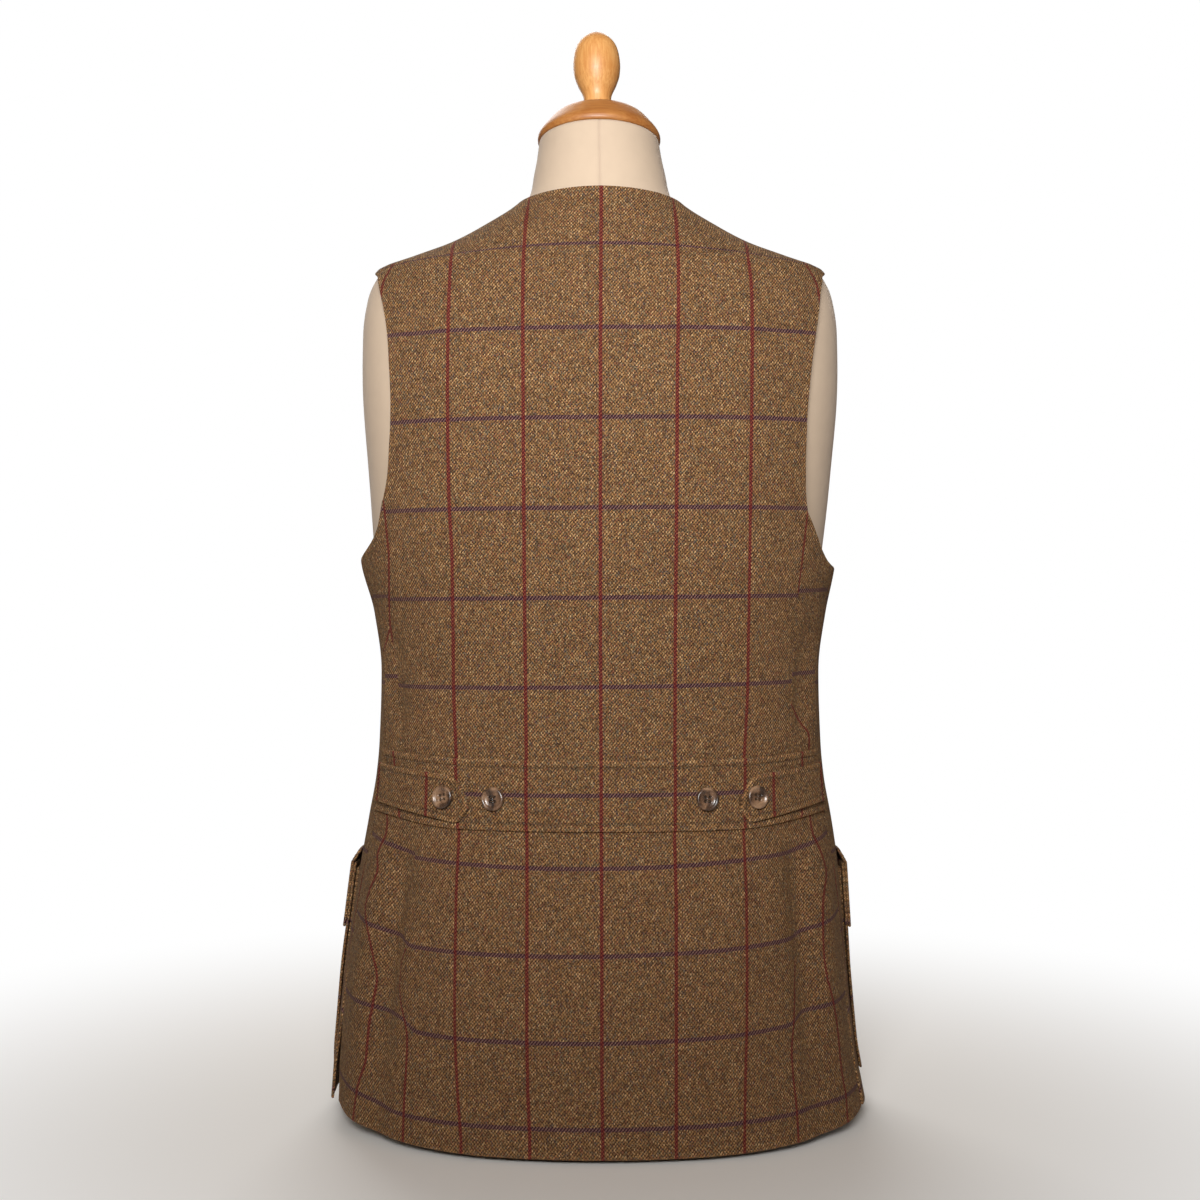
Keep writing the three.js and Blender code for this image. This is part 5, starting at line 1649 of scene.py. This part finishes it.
@dataclass(frozen=True)
class CheckedTweed:
    """Woollen tweed, 2/2 twill, milled and pressed.

    The eye sees slanting ribs of short floats, each yarn a melange of dyed fibres, and a
    windowpane check woven in: burgundy stripes in the warp, purple lines in the weft.
    """

    yarn_pitch: tuple[float, float] = (0.64, 0.76)     # ends and picks: ribs 1.95 mm apart
    # The dyed fibres that a float can show, each from this share of the floats on.
    melange: Sequence[tuple[float, str]] = (
        (0.0, "543c29"), (0.13, "6e5033"), (0.3, "836241"), (0.47, "7d5039"), (0.57, "6e604a"),
        (0.67, "936b41"), (0.82, "a07c55"), (0.91, "5f4f49"), (0.95, "b49268"),
    )
    weft_shade: float = 0.7      # a weft float lies lower, in the shade of the ribs
    warp_stripe: str = "4c0818"
    stripe_between: str = "8e3f2e"
    weft_line: str = "2e0f22"
    line_between: str = "674a4e"
    stripe_half: float = 1.4
    line_half: float = 1.65

    def material(self) -> bpy.types.Material:
        """Builds the material. It reads the cloth's own coordinates in millimetres."""
        material, tree = new_material("milled_wool_tweed")
        place, woven = (
            add_node(tree, "Attribute", attribute_name=word, attribute_type="GEOMETRY")
            for word in ("cloth", "weave")
        )
        axes, lengths = (
            add_node(tree, "SeparateXYZ", [source.outputs["Vector"]]) for source in (place, woven)
        )
        yarns, cells, parts = [], [], []
        for axis in (0, 1):
            pitch = self.yarn_pitch[axis]
            yarn = add_node(tree, "Math", [lengths.outputs[axis], pitch], operation="DIVIDE")
            yarns.append(yarn)
            cells.append(add_node(tree, "Math", [yarn], operation="FLOOR"))
            parts.append(add_node(tree, "Math", [yarn], operation="FRACT"))
        steps = add_node(tree, "Math", [cells[0], cells[1]], operation="ADD")
        phase = add_node(tree, "Math", [steps, 4.0], operation="FLOORED_MODULO")
        warp_up = add_node(tree, "Math", [phase, 1.5], operation="LESS_THAN")
        crowns = []
        for part in parts:
            middle = add_node(tree, "Math", [part, 0.5], operation="SUBTRACT")
            square = add_node(tree, "Math", [middle, middle], operation="MULTIPLY")
            crowns.append(add_node(tree, "Math", [square, -4.0, 1.0], operation="MULTIPLY_ADD"))
        crown = add_node(
            tree, "Mix", {"Factor": warp_up, 2: crowns[1], 3: crowns[0]}, data_type="FLOAT"
        )
        # The ribs, and the shorter steps where the floats dive at their ends; the colour takes them as
        # painted shade in the furrows between them.
        ribs = []
        for operation in ("ADD", "SUBTRACT"):
            slant = add_node(tree, "Math", [yarns[0], yarns[1]], operation=operation)
            wave = add_node(tree, "Math", [slant, math.pi / 4], operation="MULTIPLY")
            wave = add_node(tree, "Math", [wave], operation="SINE")
            ribs.append(add_node(tree, "Math", [wave], operation="ABSOLUTE"))
        rib = add_node(tree, "Math", [ribs[1], 0.95, ribs[0]], operation="MULTIPLY_ADD")

        # Each float of two cells shows one tuft of dyed fibres.
        run = add_node(tree, "Math", [steps, 4.0], operation="DIVIDE")
        run = add_node(tree, "Math", [run], operation="FLOOR")
        warp_key = add_node(tree, "CombineXYZ", [cells[0], run, 0.0])
        weft_key = add_node(tree, "CombineXYZ", [run, cells[1], 7.0])
        key = add_node(
            tree, "Mix", {"Factor": warp_up, 4: weft_key, 5: warp_key}, data_type="VECTOR"
        )
        tuft = add_node(tree, "TexWhiteNoise", {"Vector": key.outputs[1]}, noise_dimensions="3D")
        ground = set_ramp(add_node(tree, "ValToRGB", [tuft.outputs["Value"]]), self.melange)
        ground.color_ramp.interpolation = "CONSTANT"

        clouds = add_node(
            tree, "TexNoise", {"Vector": place.outputs["Vector"], "Scale": 0.045, "Detail": 3.0},
        )
        lightness = add_node(tree, "MapRange", [clouds, 0.3, 0.7, 0.95, 1.05])
        # Painted shade of the weave: each float is painted lighter on its crown and darker at its sides,
        # and darker in the furrows between the ribs.
        depth = add_node(tree, "Math", [crown, 0.36, 0.6], operation="MULTIPLY_ADD")
        furrow_shade = add_node(tree, "Math", [rib, 0.76, -0.05], operation="MULTIPLY_ADD")
        # Paler at free edges from wear, and darker in the stitch grooves as painted shade.
        worn_and_groove_shaded = add_node(tree, "Math", [axes.outputs[2], 0.34, 1.0], operation="MULTIPLY_ADD")
        light = add_node(tree, "Math", [depth, furrow_shade], operation="MULTIPLY")
        light = add_node(tree, "Math", [light, lightness], operation="MULTIPLY")
        light = add_node(tree, "Math", [light, worn_and_groove_shaded], operation="MULTIPLY")
        low = add_node(tree, "MapRange", [warp_up, 0.0, 1.0, self.weft_shade, 1.0])
        colour = add_node(tree, "VectorMath", {0: ground, "Scale": low}, operation="SCALE")

        # A stripe's dyed yarns show where they lie on top, and another colour between them.
        under = add_node(tree, "Math", [1.0, warp_up], operation="SUBTRACT")
        for axis, repeat, half, dye, between, own in (
            (1, WEFT_REPEAT, self.line_half, self.weft_line, self.line_between, under),
            (0, WARP_REPEAT, self.stripe_half, self.warp_stripe, self.stripe_between, warp_up),
        ):
            shifted = add_node(tree, "Math", [axes.outputs[axis], repeat / 2], operation="ADD")
            inside = add_node(tree, "Math", [shifted, repeat], operation="FLOORED_MODULO")
            away = add_node(tree, "Math", [inside, repeat / 2], operation="SUBTRACT")
            away = add_node(tree, "Math", [away], operation="ABSOLUTE")
            if axis == 1:
                away = add_node(tree, "Math", [away, lengths.outputs[2]], operation="MULTIPLY")
            mask = add_node(tree, "Math", [away, half], operation="LESS_THAN")
            stroke = add_node(
                tree, "Mix", {"Factor": own, 6: linear(between), 7: linear(dye)},
                data_type="RGBA",
            ).outputs[2]
            strength = add_node(tree, "Math", [own, 0.25, 0.72], operation="MULTIPLY_ADD")
            factor = add_node(tree, "Math", [mask, strength], operation="MULTIPLY")
            colour = add_node(
                tree, "Mix", {"Factor": factor, 6: colour, 7: stroke}, data_type="RGBA"
            ).outputs[2]
        colour = add_node(tree, "VectorMath", {0: colour, "Scale": light}, operation="SCALE")
        fuzz = add_node(
            tree, "TexNoise", {"Vector": place.outputs["Vector"], "Scale": 1.6, "Detail": 2.0}
        )
        weave = add_node(tree, "Math", [rib, 0.5, crown], operation="MULTIPLY_ADD")
        weave = add_node(tree, "Math", [fuzz, 0.8, weave], operation="MULTIPLY_ADD")
        bump = add_node(
            tree, "Bump", {"Strength": 0.55, "Distance": 0.25 * MM, "Height": weave}
        )
        shader = add_node(tree, "BsdfPrincipled", {
            "Base Color": colour, "Roughness": 0.92, "Specular IOR Level": 0.18,
            "Sheen Weight": 0.05, "Sheen Roughness": 0.5, "Sheen Tint": linear("d8b98a"),
            "Normal": bump,
        })
        add_node(tree, "OutputMaterial", {"Surface": shader})
        return material


@dataclass(frozen=True)
class PolishedHorn:
    """Buffalo horn, turned and polished.

    The eye sees dark and pale brown streaks under a low gloss, paler at the rim.
    """

    streaks: Sequence[tuple[float, str]] = (
        (0.3, "241812"), (0.42, "4b3628"), (0.5, "70543f"), (0.62, "937459"), (0.76, "5e4634"),
    )
    streak_size: float = 15.0    # millimetres

    def material(self) -> bpy.types.Material:
        """Builds the material."""
        material, tree = new_material("polished_buffalo_horn")
        place = add_node(tree, "TexCoord")
        stretched = add_node(
            tree, "Mapping", {"Vector": place.outputs["Object"], "Scale": (1000 / self.streak_size,) * 3,
                              "Rotation": (0.3, 0.5, 0.9)},
        )
        swirl = add_node(
            tree, "TexNoise", {"Vector": stretched, "Scale": 0.9, "Detail": 5.0, "Distortion": 1.4}
        )
        colour = set_ramp(add_node(tree, "ValToRGB", [swirl]), self.streaks)
        grit = add_node(tree, "TexNoise", {"Vector": stretched, "Scale": 14.0, "Detail": 2.0})
        bump = add_node(tree, "Bump", {"Strength": 0.12, "Distance": 0.1 * MM, "Height": grit})
        rough = add_node(tree, "MapRange", [grit, 0.3, 0.7, 0.22, 0.36])
        shader = add_node(tree, "BsdfPrincipled", {
            "Base Color": colour, "Roughness": rough.outputs[0], "IOR": 1.55,
            "Coat Weight": 0.3, "Coat Roughness": 0.12, "Normal": bump,
        })
        add_node(tree, "OutputMaterial", {"Surface": shader})
        return material


@dataclass(frozen=True)
class CottonCover:
    """Unbleached cotton jersey, stretched and sewn over padding.

    The eye sees a flat cream with a fine grain of threads, darker in the seams.
    """

    cream: str = "bda993"
    shade: str = "a08c7c"
    thread_pitch: float = 0.8    # real 0.4 mm, drawn at twice that to show at all

    def material(self) -> bpy.types.Material:
        """Builds the material. It reads the cover's own coordinates in millimetres."""
        material, tree = new_material("stretched_cotton_cover")
        place = add_node(tree, "Attribute", attribute_name="cloth", attribute_type="GEOMETRY")
        axes = add_node(tree, "SeparateXYZ", [place.outputs["Vector"]])
        waves = []
        for axis in (0, 1):
            turns = add_node(
                tree, "Math", [axes.outputs[axis], 2 * math.pi / self.thread_pitch],
                operation="MULTIPLY",
            )
            waves.append(add_node(tree, "Math", [turns], operation="SINE"))
        weave = add_node(tree, "Math", waves, operation="MULTIPLY")
        clouds = add_node(
            tree, "TexNoise", {"Vector": place.outputs["Vector"], "Scale": 0.09, "Detail": 4.0}
        )
        mix = add_node(tree, "MapRange", [clouds, 0.35, 0.75, 0.0, 0.12])
        seam = add_node(tree, "Math", [axes.outputs[2], 0.4, mix.outputs[0]], operation="MULTIPLY_ADD")
        colour = add_node(
            tree, "Mix", {"Factor": seam, 6: linear(self.cream), 7: linear(self.shade)},
            data_type="RGBA",
        )
        bump = add_node(tree, "Bump", {"Strength": 0.2, "Distance": 0.15 * MM, "Height": weave})
        shader = add_node(tree, "BsdfPrincipled", {
            "Base Color": colour.outputs[2], "Roughness": 0.85, "Specular IOR Level": 0.25,
            "Sheen Weight": 0.1, "Normal": bump,
        })
        add_node(tree, "OutputMaterial", {"Surface": shader})
        return material


@dataclass(frozen=True)
class VarnishedBeech:
    """Steamed beech, turned, sanded and varnished.

    The eye sees a warm even wood with fine long grain and the short dark flecks of its
    rays, under a satin coat.
    """

    pale: str = "d69f5e"
    warm: str = "bb7b3c"
    fleck: str = "8f5526"
    grain_width: float = 1.6     # millimetres
    fleck_length: float = 2.6

    def material(self, name: str = "varnished_turned_beech") -> bpy.types.Material:
        """Builds the material. It reads the turned piece's own coordinates, grain along z."""
        material, tree = new_material(name)
        place = add_node(tree, "Attribute", attribute_name="grain", attribute_type="GEOMETRY")
        along = add_node(
            tree, "Mapping",
            {"Vector": place.outputs["Vector"],
             "Scale": (1 / self.grain_width, 1 / self.grain_width, 0.045)},
        )
        grain = add_node(
            tree, "TexNoise", {"Vector": along, "Scale": 1.0, "Detail": 4.0, "Distortion": 0.3}
        )
        broad = add_node(
            tree, "TexNoise", {"Vector": place.outputs["Vector"], "Scale": 0.04, "Detail": 2.0}
        )
        tone = add_node(tree, "Math", [grain, 0.6], operation="MULTIPLY")
        tone = add_node(tree, "Math", [broad, 0.5, tone], operation="MULTIPLY_ADD")
        body = set_ramp(
            add_node(tree, "ValToRGB", [tone]), ((0.38, self.warm), (0.68, self.pale))
        )
        short = add_node(
            tree, "Mapping",
            {"Vector": place.outputs["Vector"], "Scale": (2.4, 2.4, 1 / self.fleck_length)},
        )
        dots = add_node(tree, "TexVoronoi", {"Vector": short, "Scale": 0.8})
        spots = add_node(tree, "MapRange", [dots.outputs["Distance"], 0.1, 0.22, 0.55, 0.0])
        colour = add_node(
            tree, "Mix", {"Factor": spots.outputs[0], 6: body, 7: linear(self.fleck)},
            data_type="RGBA",
        )
        bump = add_node(tree, "Bump", {"Strength": 0.08, "Distance": 0.1 * MM, "Height": grain})
        shader = add_node(tree, "BsdfPrincipled", {
            "Base Color": colour.outputs[2], "Roughness": 0.5, "IOR": 1.5,
            "Coat Weight": 0.3, "Coat Roughness": 0.35, "Normal": bump,
        })
        add_node(tree, "OutputMaterial", {"Surface": shader})
        return material


@dataclass(frozen=True)
class SewingThread:
    """Spun polyester thread in the cloth's own brown, a matt line with a slight twist."""

    colour: str = "7a5c38"

    def material(self, name: str = "spun_sewing_thread") -> bpy.types.Material:
        """Builds the material."""
        material, tree = new_material(name)
        place = add_node(tree, "TexCoord")
        twist = add_node(
            tree, "TexNoise", {"Vector": place.outputs["Object"], "Scale": 2500.0, "Detail": 1.0}
        )
        colour = add_node(
            tree, "Mix", {"Factor": twist, 6: linear(self.colour), 7: linear(self.colour)},
            data_type="RGBA", blend_type="MULTIPLY",
        )
        shader = add_node(tree, "BsdfPrincipled", {
            "Base Color": colour.outputs[2], "Roughness": 0.7, "Sheen Weight": 0.2,
        })
        add_node(tree, "OutputMaterial", {"Surface": shader})
        return material


@dataclass
class Studio:
    """Pale floor, soft light and the camera straight behind the wearer's back."""

    camera_distance: float = 1460.0    # from the middle of the body, in y
    camera_height: float = 430.7
    view_width: float = 1200 / 1710.5  # of what the camera sees, for each unit of distance
    sensor: float = 36.0
    floor_radius: float = 2400.0
    sky: str = "6d6155"                # what the white sky gives as light, a little warm

    def build_floor(self) -> None:
        """Builds the floor that the form stands on."""
        angle = np.arange(96) / 96 * 2 * math.pi
        rim = self.floor_radius * np.stack([np.cos(angle), np.sin(angle), 0 * angle], axis=-1)
        material, tree = new_material("pale_studio_floor")
        shader = add_node(tree, "BsdfPrincipled", {
            "Base Color": linear("f4f2ee"), "Roughness": 0.7, "Specular IOR Level": 0.2,
        })
        # Far off, the floor turns to plain white for the camera alone, so its far edge isn't seen.
        place = add_node(tree, "NewGeometry")
        reach = add_node(tree, "VectorMath", [place.outputs["Position"]], operation="LENGTH")
        away = add_node(
            tree, "MapRange", [reach.outputs["Value"], 0.15, 0.9], interpolation_type="SMOOTHSTEP"
        )
        path = add_node(tree, "LightPath")
        fade = add_node(tree, "Math", [away, path.outputs["Is Camera Ray"]], operation="MULTIPLY")
        white = add_node(tree, "Emission", {"Color": (1, 1, 1, 1)})
        shader = add_node(tree, "MixShader", [fade, shader, white])
        add_node(tree, "OutputMaterial", {"Surface": shader})
        new_object("floor", rim, np.arange(96)[None, :], material)

    def build_light(
        self, name: str, place: Sequence[float], aim_height: float, size: float, power: float,
        spread: float,
    ) -> None:
        """Adds a square soft light.

        Args:
            name: The light's name.
            place: Where it stands, in metres.
            aim_height: The height on the part's axis that it looks at.
            size: Its width, in metres.
            power: Its power, in watts.
            spread: The angle of its beam, in degrees.
        """
        light = bpy.data.lights.new(name, "AREA")
        light.shape, light.size, light.energy = "SQUARE", size, power
        light.spread = math.radians(spread)
        made = bpy.data.objects.new(name, light)
        made.location = place
        aim = Vector((0, 0, aim_height)) - Vector(place)
        made.rotation_euler = aim.to_track_quat("-Z", "Y").to_euler()
        bpy.context.scene.collection.objects.link(made)

    def build_world(self) -> None:
        """Builds a sky that looks white and gives only a part of that light."""
        world = bpy.data.worlds.new("studio")
        world.use_nodes = True
        tree = world.node_tree
        tree.nodes.clear()
        path = add_node(tree, "LightPath")
        colour = add_node(
            tree, "Mix", {"Factor": path.outputs["Is Camera Ray"], 6: linear(self.sky),
                          7: (1, 1, 1, 1)}, data_type="RGBA",
        )
        sky = add_node(tree, "Background", {"Color": colour.outputs[2]})
        add_node(tree, "OutputWorld", {"Surface": sky})
        bpy.context.scene.world = world

    def build(self) -> None:
        """Builds the floor, the lights, the sky and the camera."""
        self.build_floor()
        self.build_light("key_light", (0.12, 1.75, 1.1), 0.7, 0.7, 6.9, 62)
        self.build_light("fill_light", (-0.4, 2.4, 1.9), 0.5, 1.6, 0.9, 120)
        self.build_light("front_light", (0.4, -2.2, 1.9), 0.4, 1.8, 26, 150)
        self.build_world()
        bpy.context.scene.view_settings.view_transform = "Standard"
        camera = bpy.data.cameras.new("camera")
        camera.sensor_width = self.sensor
        camera.lens = self.sensor / self.view_width
        camera.clip_end = 50
        made = bpy.data.objects.new("camera", camera)
        made.location = (0, self.camera_distance * MM, self.camera_height * MM)
        made.rotation_euler = (math.pi / 2, 0, math.pi)
        bpy.context.scene.collection.objects.link(made)
        bpy.context.scene.camera = made


def main() -> None:
    """Builds the studio, the form and the garment, piece by piece."""
    logging.basicConfig(level=logging.INFO, format="%(name)s: %(message)s")
    Studio().build()
    body = Body()
    seams = Seams(body)
    check = CheckMap(body)
    thread = SewingThread().material()
    cloth = Cloth(body, thread)
    tweed = CheckedTweed().material()
    horn = PolishedHorn().material()
    # The cap gets a darker copy of the knob's beech: painted shade, as its upward faces catch more of
    # the key light than the knob's.
    cap = VarnishedBeech(pale="b0773d", warm="935722").material("varnished_beech_cap_painted_shade")
    DressForm(body, CottonCover().material(), VarnishedBeech().material(), cap).build()
    BackPanel(cloth, seams, check, tweed).build()
    for side in Side:
        SidePanel(cloth, seams, check, tweed, side).build()
        front = FrontPanel(cloth, seams, check, tweed, side)
        front.build()
        Pocket(front).build()
    WaistBand(cloth, seams, check, tweed).build()
    for side in Side:
        Tab(cloth, seams, tweed, side).build()
    # The shank's thread is near black: painted shade in the button holes.
    ButtonSet(seams, horn, thread, SewingThread("0a0705").material("shaded_sewing_thread")).build()


if __name__ == "__main__":
    main()
